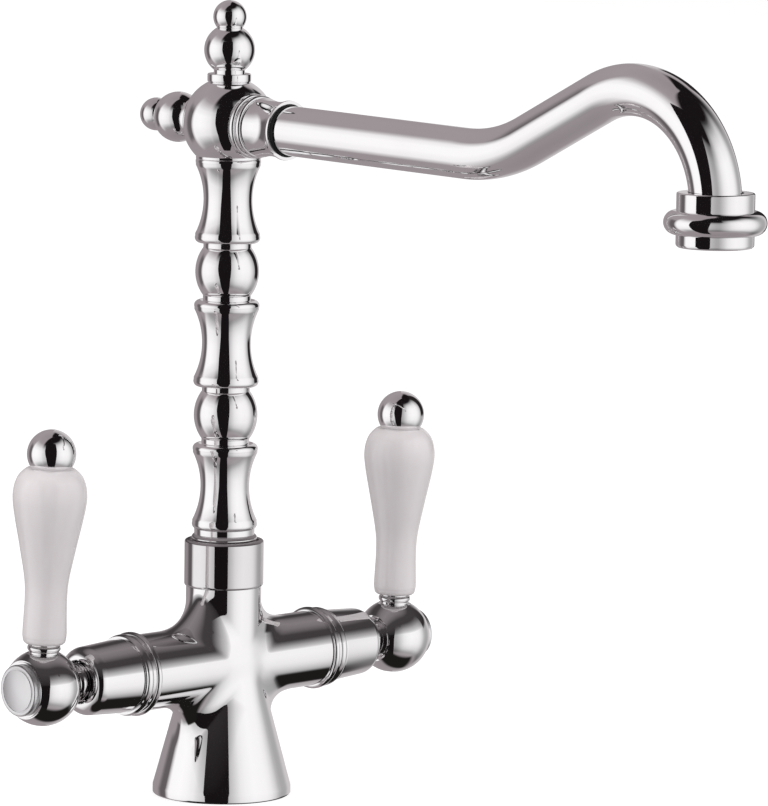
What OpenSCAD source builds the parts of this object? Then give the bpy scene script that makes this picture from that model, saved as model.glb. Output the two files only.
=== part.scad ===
// Two-lever mixer tap with a turned column, a swan-neck spout and porcelain levers.
// Millimetres. Z is up, the deck is z = 0, the levers lie along X and the spout points to -Y.

/* [Body casting] */
// Diameter of the foot on the deck
foot_d = 51; // [50:0.5:60]
// Height of the straight band at the bottom of the foot
foot_band = 3; // [1:0.5:5]
// Height of the lever axis above the deck
axis_z = 49.2; // [46:0.5:60]
// Diameter of the neck
neck_d = 27.8; // [27.4:0.2:31]
// Height of the neck's top above the lever axis
neck_h = 28.2; // [26:0.5:36]
// Diameter of the arms
arm_d = 28; // [27.4:0.2:31]
// Length of an arm from the middle of the tap
arm_l = 43.7; // [40:0.5:56]
// Size of the blend between arms, neck and foot
blend = 17; // [6:0.5:20]

/* [Underside] */
// Inner diameter of the gasket
gasket_id = 41; // [39:0.5:42]
// Outer diameter of the gasket
gasket_od = 47; // [44:0.5:48]
// Thickness of the gasket
gasket_t = 2; // [1:0.5:3]
// Distance of each water inlet from the middle
inlet_x = 9.5; // [9:0.25:10]
// Diameter of the inlet thread
inlet_d = 10; // [9:0.5:11]
// Depth of the inlet thread
inlet_depth = 12; // [8:1:16]
// Diameter of the water ways
way_d = 7; // [5:0.5:8]
// Diameter of the fixing stud's thread
stud_d = 8; // [6:1:9]
// Depth of the fixing stud's thread
stud_depth = 16; // [10:1:20]
// Distance of the fixing stud behind the middle
stud_y = 13.5; // [12.5:0.5:14.5]

/* [Collar nut] */
// Diameter of the collar nut
collar_d = 29.2; // [28.5:0.2:33]
// Height of the collar nut
collar_h = 17.2; // [15:0.2:22]
// Thickness of the nut's top lip
collar_lip = 3.4; // [2.6:0.2:4.4]
// Diameter of the threaded spigot inside the nut
spigot_d = 24.8; // [24:0.2:26]

/* [Column] */
// Diameter of the rims and of the foot bead
rim_d = 24; // [22:0.2:26]
// Smallest diameter of a waisted stretch
waist_d = 17.9; // [16:0.1:19.5]
// Height of a waisted stretch
waist_h = 33.3; // [28:0.5:40]
// Diameter of the balls on the column
bead_ball_d = 23.4; // [21:0.2:25]
// Height of a ball with its two necks
bead_ball_h = 19.6; // [17:0.05:24]
// Diameter of the necks between the stretches
groove_d = 17.6; // [15:0.2:19]
// Diameter of the water way in the column
column_bore = 11; // [8:0.5:12]
// Diameter of the tail that turns in the body
tail_d = 19.8; // [19:0.1:20.6]

/* [Hub and finials] */
// Diameter of the hub ball
hub_d = 33.8; // [30:0.2:36]
// Diameter of a finial's disc
finial_disc_d = 16; // [14:0.2:18]
// Thickness of a finial's disc
finial_disc_t = 3.1; // [2.5:0.1:5]
// Diameter of a finial's large ball
finial_ball_d = 18.6; // [16:0.2:20]
// Diameter of a finial's small ball
finial_tip_d = 12.2; // [10:0.2:14]

/* [Spout] */
// Outer diameter of the spout tube
tube_d = 18; // [16:0.5:18.5]
// Wall of the spout tube
tube_wall = 1; // [0.8:0.1:2]
// Angle by which the first run drops
drop = 1.4; // [0:0.2:4]
// Distance from the column's axis to the first bend
run_l = 137.2; // [110:0.5:160]
// Angle by which the incline rises
rise = 26.6; // [15:0.5:35]
// Distance from the column's axis to the outlet
reach = 238.4; // [225:0.5:270]
// Radius of the first bend
bend_r = 64; // [30:1:70]
// Radius of the large bend
swan_r = 37.4; // [30:0.2:42]
// Length of the collar at the root of the spout
sleeve_l = 19.3; // [16:0.2:24]

/* [Outlet] */
// Diameter of the aerator housing
outlet_d = 26.6; // [25.6:0.2:30]
// Height of the aerator housing
outlet_h = 18.6; // [17:0.2:24]
// Diameter over the housing's bead
outlet_bead_d = 35.2; // [32:0.2:38]
// Height of the housing's bead
outlet_bead_h = 8.2; // [6:0.2:9]

/* [Valves] */
// Diameter of the valve's thread in the arm
valve_d = 20.8; // [20:0.1:21.4]
// Depth from the arm's end to the valve seat
valve_depth = 22.7; // [21.5:0.1:23.5]
// Width of the trim ring
ring_w = 7.4; // [6:0.2:9]
// Diameter of the trim ring
ring_d = 30.8; // [29.5:0.2:34]
// Diameter of the shroud beside the trim ring
shroud_d = 27; // [25.4:0.2:30]
// Diameter of the shroud at its outer end
shroud_end_d = 25; // [23:0.2:27]
// Length of the shroud
shroud_l = 21; // [18:0.2:26]
// Diameter of the spindle
spindle_d = 8; // [6:0.5:8.5]

/* [Levers] */
// Diameter of the lever hub
lever_hub_d = 27.8; // [26:0.2:31]
// Gap between the shroud and the lever hub
lever_gap = 6.2; // [4:0.2:9]
// Diameter of the hub's grooved skirt
skirt_d = 14.2; // [13:0.2:15]
// Diameter of the index cap
cap_d = 18.6; // [16:0.2:19.4]
// Height of the porcelain handle
handle_h = 63.6; // [54:0.2:76]
// Largest diameter of the porcelain handle
handle_d = 26.6; // [24:0.2:30]
// Smallest diameter of the porcelain handle
handle_waist_d = 15.2; // [13:0.2:17]
// Diameter of the ball nut on the handle
knob_d = 17.6; // [16:0.2:20]
// Diameter of the steel rod in the handle
rod_d = 5; // [4:0.5:6]
// Forward lean of the left lever, closed
left_lean = 2.7; // [0:0.1:4]
// Forward lean of the right lever, closed
right_lean = 1.6; // [0:0.1:4]

/* [Clearances] */
// Clearance on the radius of fitted parts
fit_c = 0.05; // [0.02:0.01:0.08]
// Clearance between parts that turn past each other
free_c = 0.3; // [0.25:0.05:0.5]

/* [Hidden] */
$fn = 72;
chrome = [0.82, 0.82, 0.84];
brass = [0.78, 0.62, 0.30];
steel = [0.62, 0.63, 0.65];
black = [0.07, 0.07, 0.08];
ceramic = [0.93, 0.91, 0.87];
nylon = [0.90, 0.90, 0.86];

foot_r = foot_d / 2;
neck_r = neck_d / 2;
arm_r = arm_d / 2;
cone_top = axis_z - 3.2;
body_top = axis_z + neck_h;
foot_edge = 0.6;

// Seat of the column inside the neck
spigot_r = spigot_d / 2;
spigot_h = 8.6;
tail_r = tail_d / 2;
bush_t = 0.9;
bush_h = 9;
flange_t = 1;
seat_z = axis_z + 8;
tail_z = seat_z + 5.5;
collar_top = body_top + collar_h;
collar_recess = 1.2;
column_flange_t = collar_h - collar_lip - spigot_h - flange_t - free_c;
nipple_r = column_bore / 2 + 1.5;
nipple_h = 5;

// Column
rim_r = rim_d / 2;
waist_r = waist_d / 2;
groove_r = groove_d / 2;
rim_bead = 1.9;
rim_off = waist_h / 2 - 2.65;
rim_step = 0.12;
foot_bead = 1.5;
column_z = collar_top - collar_recess + free_c;
stack_z = collar_top + 3.1;
pitch = waist_h + bead_ball_h;
stretch_z = [for (i = [0:2]) stack_z + waist_h / 2 + i * pitch];
ball_z = [for (i = [0:1]) stack_z + waist_h + bead_ball_h / 2 + i * pitch];
column_top = stretch_z[2] + rim_off + rim_bead;

// Hub
hub_r = hub_d / 2;
hub_flat_r = rim_r - 0.1;
hub_z = column_top + sqrt(hub_r * hub_r - hub_flat_r * hub_flat_r);
finial_seat_r = finial_disc_d / 2 - 0.5;
finial_seat = sqrt(hub_r * hub_r - finial_seat_r * finial_seat_r);
finial_stud_r = 3;
finial_stud_l = 5.5;
sleeve_seat_r = hub_r * 0.7;
sleeve_seat = sqrt(hub_r * hub_r - sleeve_seat_r * sleeve_seat_r);
tube_r = tube_d / 2;
tube_root = sleeve_seat - 4;

// Spout, in a plane where s runs out from the column and z is up
seal_l = 1.15;
seal_t = 0.7;
bend_turn = rise + drop;
bend_t = bend_r * tan(bend_turn / 2);
bend_z = hub_z - run_l * tan(drop);
swan_s = reach - swan_r;
swan_z = bend_z + (swan_s - run_l) * tan(rise) - swan_r / cos(rise);
run_len = run_l / cos(drop) - bend_t - tube_root;
incline_dx = swan_s - swan_r * sin(rise) - run_l;
incline_len = incline_dx / cos(rise) - bend_t;

// Outlet
outlet_r = outlet_d / 2;
outlet_top = swan_z + 5;
outlet_z = outlet_top - outlet_h;
outlet_wall = 1.6;
tube_seat = outlet_top - 5.6;

// Valve stations, measured from the middle of the tap along an arm
valve_r = valve_d / 2;
valve_seat = arm_l - valve_depth;
ring_end = arm_l + ring_w;
shroud_end = ring_end + shroud_l;
thread_l = 12;
barrel_r = valve_r - 2.4;
chamber_r = valve_r - 0.8;
nose_l = 3;
outlet_way_r = 2;
outlet_way_z = axis_z + barrel_r + fit_c + outlet_way_r + 0.25;
hex_l = 7;
hex_r = valve_r + 0.9;
valve_neck_r = 8.4;
valve_neck_l = 4.5;
valve_end = ring_end + hex_l + valve_neck_l - 1;
seal_h = 1.2;
disc_r = barrel_r - 1.3;
disc_t = 2.4;
disc_x = valve_seat + seal_h;
spindle_r = spindle_d / 2;
spindle_foot = disc_x + 2 * disc_t;
spindle_foot_l = 3;

// Lever hub
lever_r = lever_hub_d / 2;
boss_r = lever_r * 0.63;
boss_x = shroud_end + lever_gap;
hub_x = boss_x + sqrt(lever_r * lever_r - boss_r * boss_r);
cap_r = cap_d / 2;
step_r = cap_r + 0.8;
step_x = hub_x + sqrt(lever_r * lever_r - pow(step_r + 0.5, 2));
cap_t = 2.3;
cap_face = step_x + 0.7;
skirt_r = skirt_d / 2;
skirt_end = valve_end + free_c;
grub_r = 2.5;
grub_x = hub_x - 1.7;
rod_r = rod_d / 2;
neck_ring_r = rod_r + 3.5;
neck_ring_z = sqrt(lever_r * lever_r - neck_ring_r * neck_ring_r) - 0.3;
neck_ring_h = 4.05;
handle_z = neck_ring_z + neck_ring_h;
handle_top = handle_z + handle_h;
knob_r = knob_d / 2;
knob_seat_r = knob_r * 0.82;
knob_z = handle_top + sqrt(knob_r * knob_r - knob_seat_r * knob_seat_r);

// Placing: along an arm, on a lever, and along the tilted cross axis of the hub
module on_arm(side) {
    translate([0, 0, axis_z]) rotate([0, side * 90, 0]) children();
}
module on_lever(side) {
    lean = side < 0 ? left_lean : right_lean;
    translate([side * hub_x, 0, axis_z]) rotate([lean, 0, 0]) children();
}
module on_spout() {
    translate([0, 0, hub_z]) rotate([0, 0, -90]) rotate([0, 90 + drop, 0]) children();
}
module behind_hub() {
    translate([0, 0, hub_z]) rotate([0, 0, -90]) rotate([0, drop - 90, 0]) children();
}

// A plain ring or disc on the z axis
module ring(r_out, r_in, z0, z1) {
    translate([0, 0, z0]) difference() {
        cylinder(r = r_out, h = z1 - z0);
        translate([0, 0, -1]) cylinder(r = r_in, h = z1 - z0 + 2);
    }
}

// Half outline of a round bar, from the axis out to a radius
module bar2d(r, z0, z1) {
    translate([0, z0]) square([r, z1 - z0]);
}
// Half outline of a ball about height z, kept between two heights
module ball2d(r, z, z0, z1) {
    intersection() {
        translate([0, z]) circle(r);
        bar2d(r + 1, z0, z1);
    }
}
// Half outline of a bead with its crest at radius r
module bead2d(r, bead, z) {
    translate([r - bead, z]) circle(bead);
}

// Body casting: one smooth skin over a vertical trunk and two arms.
// The skin is where a blend of the two distances is zero, found along rays by halving.
function trunk_r(z) =
    let (cone = neck_r + (foot_r - neck_r) * (cone_top - z) / (cone_top - foot_band))
    z < foot_band ? foot_r : soft_max(neck_r, cone, 3);
function soft_max(a, b, k) =
    let (h = max(k - abs(a - b), 0) / k) max(a, b) + h * h * k / 4;
function soft_min(a, b, k) =
    let (h = max(k - abs(a - b), 0) / k) min(a, b) - h * h * k / 4;
// The blend fades towards the front and back, where trunk and arm run flush
function blend_at(y) = blend * (1 - 0.88 * min(1, pow(y / arm_r, 2)));
function skin(p) = soft_min(
    norm([p.x, p.y]) - trunk_r(p.z),
    norm([p.y, p.z - axis_z]) - arm_r,
    blend_at(p.y));
function reach_skin(a, d, lo, hi, n) =
    let (m = (lo + hi) / 2)
    n == 0 ? a + d * m
    : skin(a + d * m) > 0 ? reach_skin(a, d, lo, m, n - 1) : reach_skin(a, d, m, hi, n - 1);

seg = 18;
rows = 10;
far = 60;
halvings = 22;
// Seam between an arm and the trunk: x side, z side and the angle from the front
function seam(sx, sz, a) =
    reach_skin([0, 0, axis_z], [sx * sin(a), -cos(a), sz * sin(a)], 2, far, halvings);
// Point of ring k of an arm (side sx) or of the trunk (side sz), angle index j of 2 seg
function arm_end(sx) = sx * arm_l;
function trunk_end(sz) = sz > 0 ? body_top : foot_band;
function arm_point(sx, k, j) =
    let (a = 180 * j / seg, up = a <= 180 ? 1 : -1, s = seam(sx, up, a <= 180 ? a : 360 - a))
    k == 0 ? s
    : let (x = s.x + (arm_end(sx) - s.x) * k / rows)
    reach_skin([x, 0, axis_z], [0, -cos(a), sin(a)], 2, far, halvings);
function trunk_point(sz, k, j) =
    let (a = 180 * j / seg, right = a <= 180 ? 1 : -1, s = seam(right, sz, a <= 180 ? a : 360 - a))
    k == 0 ? s
    : let (z = s.z + (trunk_end(sz) - s.z) * k / rows)
    reach_skin([0, 0, z], [sin(a), -cos(a), 0], 2, far, halvings);

// Points: front and back poles, the four seams, then the rings of the four limbs
poles = [seam(1, 1, 0), seam(1, 1, 180)];
quads = [[1, 1], [-1, 1], [1, -1], [-1, -1]];
seams = [for (q = quads) for (j = [1:seg - 1]) seam(q.x, q.y, 180 * j / seg)];
limb_points = [for (limb = [0:3]) for (k = [1:rows]) for (j = [0:2 * seg - 1])
    limb < 2 ? arm_point(limb == 0 ? 1 : -1, k, j) : trunk_point(limb == 2 ? 1 : -1, k, j)];
foot_points = [for (e = [0, 1]) for (j = [0:2 * seg - 1])
    let (a = 180 * j / seg, r = foot_r - e * foot_edge, z = (1 - e) * foot_edge)
    [r * sin(a), -r * cos(a), z]];
body_points = concat(poles, seams, limb_points, foot_points);
function quad_index(sx, sz) = (sz > 0 ? 0 : 2) + (sx > 0 ? 0 : 1);
function seam_index(sx, sz, j) =
    j == 0 ? 0 : j == seg ? 1 : 2 + quad_index(sx, sz) * (seg - 1) + j - 1;
limb_start = 2 + 4 * (seg - 1);
function limb_index(limb, k, jj) =
    let (j = (jj + 2 * seg) % (2 * seg), half = j <= seg ? 1 : -1, i = j <= seg ? j : 2 * seg - j)
    k > 0 ? limb_start + (limb * rows + k - 1) * 2 * seg + j
    : limb == 0 ? seam_index(1, half, i)
    : limb == 1 ? seam_index(-1, half, i)
    : limb == 2 ? seam_index(half, 1, i)
    : seam_index(half, -1, i);
foot_start = limb_start + 4 * rows * 2 * seg;
function foot_index(e, jj) = e < 0
    ? limb_index(3, rows, jj)
    : foot_start + e * 2 * seg + (jj + 2 * seg) % (2 * seg);
// Two triangles for a patch, turned over where flip is true
function patch(a, b, c, d, flip) = flip
    ? [[a, b, c], [a, c, d]]
    : [[c, b, a], [d, c, a]];
limb_faces = [for (limb = [0:3]) for (k = [0:rows - 1]) for (j = [0:2 * seg - 1])
    each patch(limb_index(limb, k, j), limb_index(limb, k, j + 1),
        limb_index(limb, k + 1, j + 1), limb_index(limb, k + 1, j), limb == 1 || limb == 2)];
foot_faces = [for (e = [0, 1]) for (j = [0:2 * seg - 1])
    each patch(foot_index(e - 1, j), foot_index(e - 1, j + 1),
        foot_index(e, j + 1), foot_index(e, j), false)];
function end_loop(limb) = [for (j = [0:2 * seg - 1]) limb_index(limb, rows, j)];
function turned_over(v) = [for (i = [len(v) - 1:-1:0]) v[i]];
end_faces = [end_loop(0), turned_over(end_loop(1)), turned_over(end_loop(2)),
    [for (j = [0:2 * seg - 1]) foot_index(1, j)]];

module body_skin() {
    polyhedron(points = body_points, faces = concat(limb_faces, foot_faces, end_faces), convexity = 4);
}

module body_casting() {
    color(chrome) difference() {
        union() {
            body_skin();
            translate([0, 0, body_top - 4]) cylinder(r = spigot_r, h = spigot_h + 4);
        }
        // seat of the column, with a wider mouth for the bush
        translate([0, 0, seat_z]) cylinder(r = tail_r + fit_c, h = body_top + spigot_h - seat_z + 1);
        translate([0, 0, body_top + spigot_h - bush_h])
            cylinder(r = tail_r + bush_t + 2 * fit_c, h = bush_h + 1);
        // valve bores and their seat ports
        for (side = [-1, 1]) on_arm(side) {
            translate([0, 0, valve_seat]) cylinder(r = barrel_r + fit_c, h = valve_depth + 1);
            translate([0, 0, valve_seat + nose_l]) cylinder(r = chamber_r, h = valve_depth);
            translate([0, 0, arm_l - thread_l]) cylinder(r = valve_r + fit_c, h = thread_l + 1);
            translate([0, 0, inlet_x]) cylinder(r = way_d / 2, h = valve_seat - inlet_x + 1);
        }
        // water ways: up from each inlet, and back from each valve chamber to the column's seat
        for (side = [-1, 1]) {
            translate([side * inlet_x, 0, -1]) cylinder(r = way_d / 2, h = axis_z + 1);
            translate([side * inlet_x, 0, -1]) cylinder(r = inlet_d / 2, h = inlet_depth + 1);
            translate([side * 8, 0, outlet_way_z]) rotate([0, side * 90, 0])
                cylinder(r = outlet_way_r, h = valve_seat + nose_l - 4);
        }
        // fixing stud and gasket groove
        translate([0, stud_y, -1]) cylinder(r = stud_d / 2, h = stud_depth + 1);
        ring(gasket_od / 2 + fit_c, gasket_id / 2 - fit_c, -1, gasket_t);
    }
}

module base_gasket() {
    color(black) ring(gasket_od / 2, gasket_id / 2, 0, gasket_t);
}

module swivel_bush() {
    bush_top = body_top + spigot_h;
    color(nylon) {
        difference() {
            union() {
                translate([0, 0, bush_top - bush_h]) cylinder(r = tail_r + bush_t + fit_c, h = bush_h);
                translate([0, 0, bush_top]) cylinder(r = spigot_r - 0.4, h = flange_t);
            }
            translate([0, 0, bush_top - bush_h - 1]) cylinder(r = tail_r + fit_c, h = bush_h + flange_t + 2);
        }
    }
}

o_ring_d = 2.4;
o_ring_z = [tail_z + 3, tail_z + 8.5];
// Half section of an o-ring squeezed between its groove and its bore
module o_ring2d(r, d) {
    intersection() {
        translate([r - d / 2 + 0.1, 0]) circle(d / 2);
        translate([r - d + 0.22, -d]) square([d - 0.22 + fit_c / 2, 2 * d]);
    }
}
module o_ring_groove(r, d, z) {
    ring(r + 1, r - d + 0.2, z - d / 2 - 0.1, z + d / 2 + 0.1);
}
module column_o_rings() {
    color(black) for (z = o_ring_z) translate([0, 0, z]) rotate_extrude() o_ring2d(tail_r, o_ring_d);
}

module collar_nut() {
    r = collar_d / 2;
    edge = 1;
    lip_z = collar_top - collar_lip;
    color(chrome) rotate_extrude() difference() {
        union() {
            bar2d(r, body_top + edge, collar_top - edge);
            bar2d(r - edge, body_top, collar_top);
            bead2d(r, edge, body_top + edge);
            bead2d(r, edge, collar_top - edge);
        }
        bar2d(spigot_r + fit_c, body_top - 1, lip_z);
        bar2d(tail_r + 2 * free_c, lip_z - 1, collar_top + 1);
        bar2d(rim_r + 2 * free_c, collar_top - collar_recess, collar_top + 1);
    }
}

// Half outline of one waisted stretch with its two rims
module stretch2d(z) {
    h = rim_off - 1.2;
    s = rim_r - waist_r;
    arc = (h * h + s * s) / (2 * s);
    difference() {
        bar2d(rim_r - rim_step, z - rim_off, z + rim_off);
        translate([waist_r + arc, z]) circle(arc);
    }
    for (e = [-1, 1]) bead2d(rim_r, rim_bead, z + e * rim_off);
}

module column() {
    ball_r = bead_ball_d / 2;
    ball_half = bead_ball_h / 2 - 1;
    arc = (pow(ball_half, 2) + pow(ball_r - groove_r, 2)) / (2 * (ball_r - groove_r));
    flange_z = body_top + spigot_h + flange_t;
    color(chrome) difference() {
        rotate_extrude() difference() {
            union() {
                bar2d(tail_r, tail_z, column_z + 1);
                bar2d(spigot_r - free_c, flange_z, flange_z + column_flange_t);
                // foot: a bead, a groove and the first stretch
                bar2d(groove_r + 2.3, column_z, stack_z + 1);
                bead2d(rim_r + 0.1, foot_bead, column_z + foot_bead);
                bar2d(waist_r - 0.05, column_z, stretch_z[0]);
                for (i = [0:1]) {
                    bar2d(groove_r, stretch_z[i] + rim_off, stretch_z[i + 1] - rim_off);
                    intersection() {
                        translate([ball_r - arc, ball_z[i]]) circle(arc);
                        bar2d(ball_r + 1, ball_z[i] - bead_ball_h / 2, ball_z[i] + bead_ball_h / 2);
                    }
                }
                for (z = stretch_z) stretch2d(z);
                bar2d(hub_flat_r, column_top - 1, column_top);
                bar2d(nipple_r, column_top - 1, column_top + nipple_h);
            }
            bar2d(column_bore / 2, 0, column_top + nipple_h + 1);
        }
        for (z = o_ring_z) o_ring_groove(tail_r, o_ring_d, z);
    }
}

module finial_hole() {
    translate([0, 0, finial_seat - finial_stud_l - 0.3]) cylinder(r = finial_stud_r + fit_c, h = hub_r);
}
module spout_hub() {
    color(chrome) difference() {
        rotate_extrude() ball2d(hub_r, hub_z, column_top, hub_z + finial_seat);
        // seat of the column's nipple, and the water way up and out to the spout
        translate([0, 0, column_top - 1]) cylinder(r = nipple_r + fit_c, h = nipple_h + 1.1);
        translate([0, 0, column_top - 1]) cylinder(r = column_bore / 2, h = hub_z - column_top + 3);
        translate([0, 0, hub_z]) finial_hole();
        on_spout() {
            translate([0, 0, -1]) cylinder(r = column_bore / 2 - 0.7, h = hub_r);
            translate([0, 0, tube_root]) cylinder(r = tube_r + fit_c, h = hub_r);
            translate([0, 0, sleeve_seat]) cylinder(r = hub_r, h = hub_r);
        }
        behind_hub() {
            finial_hole();
            translate([0, 0, finial_seat]) cylinder(r = hub_r, h = hub_r);
        }
    }
}

// Finial on its own axis, z = 0 at the middle of the hub
module finial() {
    disc_z = finial_seat;
    disc_r = finial_disc_d / 2;
    ball_r = finial_ball_d / 2;
    tip_r = finial_tip_d / 2;
    neck_r2 = 5.7;
    neck_t = 1.25;
    waist = 4.65;
    edge = 0.5;
    ball_c = disc_z + finial_disc_t + neck_t + sqrt(ball_r * ball_r - neck_r2 * neck_r2);
    tip_c = ball_c + sqrt(ball_r * ball_r - waist * waist) + sqrt(tip_r * tip_r - waist * waist);
    color(chrome) rotate_extrude() {
        bar2d(finial_stud_r, disc_z - finial_stud_l, disc_z + 1);
        bar2d(disc_r - edge, disc_z, disc_z + finial_disc_t);
        bar2d(disc_r, disc_z + edge, disc_z + finial_disc_t - edge);
        bead2d(disc_r, edge, disc_z + edge);
        bead2d(disc_r, edge, disc_z + finial_disc_t - edge);
        bar2d(neck_r2, disc_z + 1, ball_c);
        ball2d(ball_r, ball_c, disc_z + finial_disc_t, tip_c);
        ball2d(tip_r, tip_c, ball_c, tip_c + tip_r + 1);
    }
}
module top_finial() {
    translate([0, 0, hub_z]) finial();
}
module back_finial() {
    behind_hub() finial();
}

module spout_collar() {
    z0 = sleeve_seat;
    z1 = z0 + sleeve_l;
    ring_r = tube_r + 2.8;
    lip_r = tube_r + 1.9;
    throat_r = tube_r + 0.95;
    shoulder_z = z0 + 6.4;
    span = z1 - 0.6 - shoulder_z;
    arc = (pow(span / 2, 2) + pow(lip_r - throat_r, 2)) / (2 * (lip_r - throat_r));
    color(chrome) on_spout() rotate_extrude() difference() {
        union() {
            bar2d(ring_r - 1.1, z0, z0 + 2.2);
            bead2d(ring_r, 1.1, z0 + 1.1);
            bar2d(ring_r - 1.2, z0 + 2.9, z0 + 5.1);
            bead2d(ring_r - 0.3, 1.1, z0 + 4);
            bar2d(tube_r + 1.3, z0, shoulder_z + 0.5);
            difference() {
                bar2d(lip_r, shoulder_z, z1);
                translate([throat_r + arc, shoulder_z + span / 2]) circle(arc);
            }
        }
        bar2d(tube_r + fit_c, z0 - 1, z1 + 1);
    }
}

module spout_seal_ring() {
    z1 = sleeve_seat + sleeve_l;
    color(black) on_spout() difference() {
        translate([0, 0, z1]) cylinder(r1 = tube_r + seal_t, r2 = tube_r + 0.35, h = seal_l);
        translate([0, 0, z1 - 1]) cylinder(r = tube_r + fit_c, h = seal_l + 2);
    }
}

// Cross-section of the tube; in a bend the wall is drawn a little thinner
bend_thin = 0.03;
bend_lap = 0.3;
module tube2d(thin) {
    difference() {
        circle(tube_r - thin);
        circle(tube_r - tube_wall + thin);
    }
}
module straight(l) {
    linear_extrude(l) tube2d(0);
}
module bend(r, turn) {
    rotate([90, 0, 0]) rotate_extrude(angle = turn) translate([r, 0]) tube2d(bend_thin);
}
module spout_tube() {
    first = run_l / cos(drop) - bend_t;
    bend_s = first * cos(drop) + bend_r * sin(drop);
    color(chrome) {
        // first run, from the hub to the first bend
        on_spout() translate([0, 0, tube_root]) straight(run_len + bend_lap);
        rotate([0, 0, -90]) {
            translate([bend_s, 0, hub_z - first * sin(drop) + bend_r * cos(drop)])
                rotate([0, 90 + drop, 0]) bend(bend_r, bend_turn);
            // incline, lapping into both bends
            translate([run_l, 0, bend_z]) rotate([0, 90 - rise, 0]) translate([0, 0, bend_t - bend_lap])
                straight(incline_len + 2 * bend_lap);
            translate([swan_s, 0, swan_z]) bend(swan_r, 90 + rise);
            translate([reach, 0, tube_seat]) straight(swan_z - tube_seat + bend_lap);
        }
    }
}

module at_outlet() {
    translate([0, -reach, 0]) children();
}
insert_h = 8;
washer_t = 1.6;
insert_r = outlet_r - outlet_wall - fit_c;
module aerator_housing() {
    bead = outlet_bead_h / 2;
    bead_z = outlet_z + 8.4;
    edge = 1;
    color(chrome) at_outlet() rotate_extrude() difference() {
        union() {
            bar2d(outlet_r, outlet_z + edge, outlet_top - 0.4);
            bar2d(outlet_r - edge, outlet_z, outlet_top);
            polygon([[outlet_r - edge, outlet_z], [outlet_r, outlet_z + edge], [0, outlet_z + edge]]);
            bead2d(outlet_bead_d / 2, bead, bead_z);
        }
        bar2d(insert_r + fit_c, outlet_z - 1, outlet_z + insert_h + washer_t);
        bar2d(tube_r - tube_wall, outlet_z, outlet_top + 1);
        bar2d(tube_r + 2 * free_c, tube_seat, outlet_top + 1);
    }
}
module aerator_insert() {
    hole_r = 0.6;
    z0 = outlet_z + 0.8;
    color(steel) at_outlet() difference() {
        translate([0, 0, z0]) cylinder(r = insert_r, h = insert_h - 0.8);
        // cups above and below a plate with round holes
        translate([0, 0, z0 - 1]) cylinder(r = insert_r - 1.4, h = 2.2);
        translate([0, 0, z0 + 3.4]) cylinder(r = insert_r - 1.4, h = insert_h);
        for (q = [1:3]) for (i = [0:6 * q - 1]) rotate([0, 0, 60 * i / q])
            translate([q * insert_r / 4.6, 0, z0]) cylinder(r = hole_r, h = 5, $fn = 16);
    }
}
module aerator_washer() {
    color(black) at_outlet()
        ring(insert_r, tube_r - tube_wall, outlet_z + insert_h, outlet_z + insert_h + washer_t);
}

module trim_ring(side) {
    r = ring_d / 2;
    bead = ring_w * 0.17;
    band = ring_w * 0.25;
    color(chrome) on_arm(side) rotate_extrude() difference() {
        union() {
            bar2d(arm_r + 0.3, arm_l, ring_end);
            bead2d(r, bead, arm_l + bead + 0.2);
            bead2d(r - 0.5, band, ring_end - band - 0.1);
        }
        bar2d(valve_r + fit_c, arm_l - 1, ring_end + 1);
    }
}

module valve_shroud(side) {
    r0 = shroud_d / 2;
    r1 = shroud_end_d / 2;
    round_r = 4.2;
    mouth_r = skirt_r + 2 * free_c;
    inner_end = valve_end - valve_neck_l;
    color(chrome) on_arm(side) rotate_extrude() difference() {
        union() {
            polygon([[0, ring_end], [r0, ring_end], [r1, shroud_end - round_r], [0, shroud_end - round_r]]);
            bar2d(r1 - round_r, shroud_end - round_r - 1, shroud_end);
            intersection() {
                translate([r1 - round_r, shroud_end - round_r]) circle(round_r);
                bar2d(r1 + 1, shroud_end - round_r - 0.05, shroud_end + 1);
            }
        }
        bar2d(hex_r + fit_c, ring_end - 1, inner_end);
        bar2d(valve_neck_r + fit_c, inner_end - 1, valve_end + free_c);
        bar2d(mouth_r, valve_end, shroud_end + 1);
        // shallow dish round the mouth
        polygon([[mouth_r - 1, shroud_end - 1.4], [r1 - round_r - 0.2, shroud_end + 0.01],
            [r1 - round_r - 0.2, shroud_end + 1], [0, shroud_end + 1], [0, shroud_end - 1.4]]);
    }
}

module valve_body(side) {
    stem_r = spindle_r + fit_c;
    window_r = 1.4;
    foot_end = spindle_foot + spindle_foot_l + free_c;
    color(brass) on_arm(side) difference() {
        union() {
            translate([0, 0, disc_x]) cylinder(r = barrel_r, h = valve_depth - seal_h);
            translate([0, 0, arm_l - thread_l]) cylinder(r = valve_r, h = thread_l + ring_w);
            translate([0, 0, ring_end]) cylinder(r = hex_r, h = valve_end - valve_neck_l - ring_end, $fn = 6);
            translate([0, 0, ring_end + 1]) cylinder(r = valve_neck_r, h = valve_end - ring_end - 1);
        }
        translate([0, 0, disc_x - 1]) cylinder(r = disc_r + fit_c, h = foot_end - disc_x + 1);
        translate([0, 0, disc_x]) cylinder(r = stem_r, h = valve_end);
        // two windows that let the water out into the chamber round the barrel
        translate([0, 0, spindle_foot + window_r + 0.1]) rotate([90, 0, 0])
            cylinder(r = window_r, h = 3 * barrel_r, center = true);
    }
}

module valve_seal(side) {
    color(black) on_arm(side) ring(barrel_r - 0.3, way_d / 2, valve_seat, disc_x);
}

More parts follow.
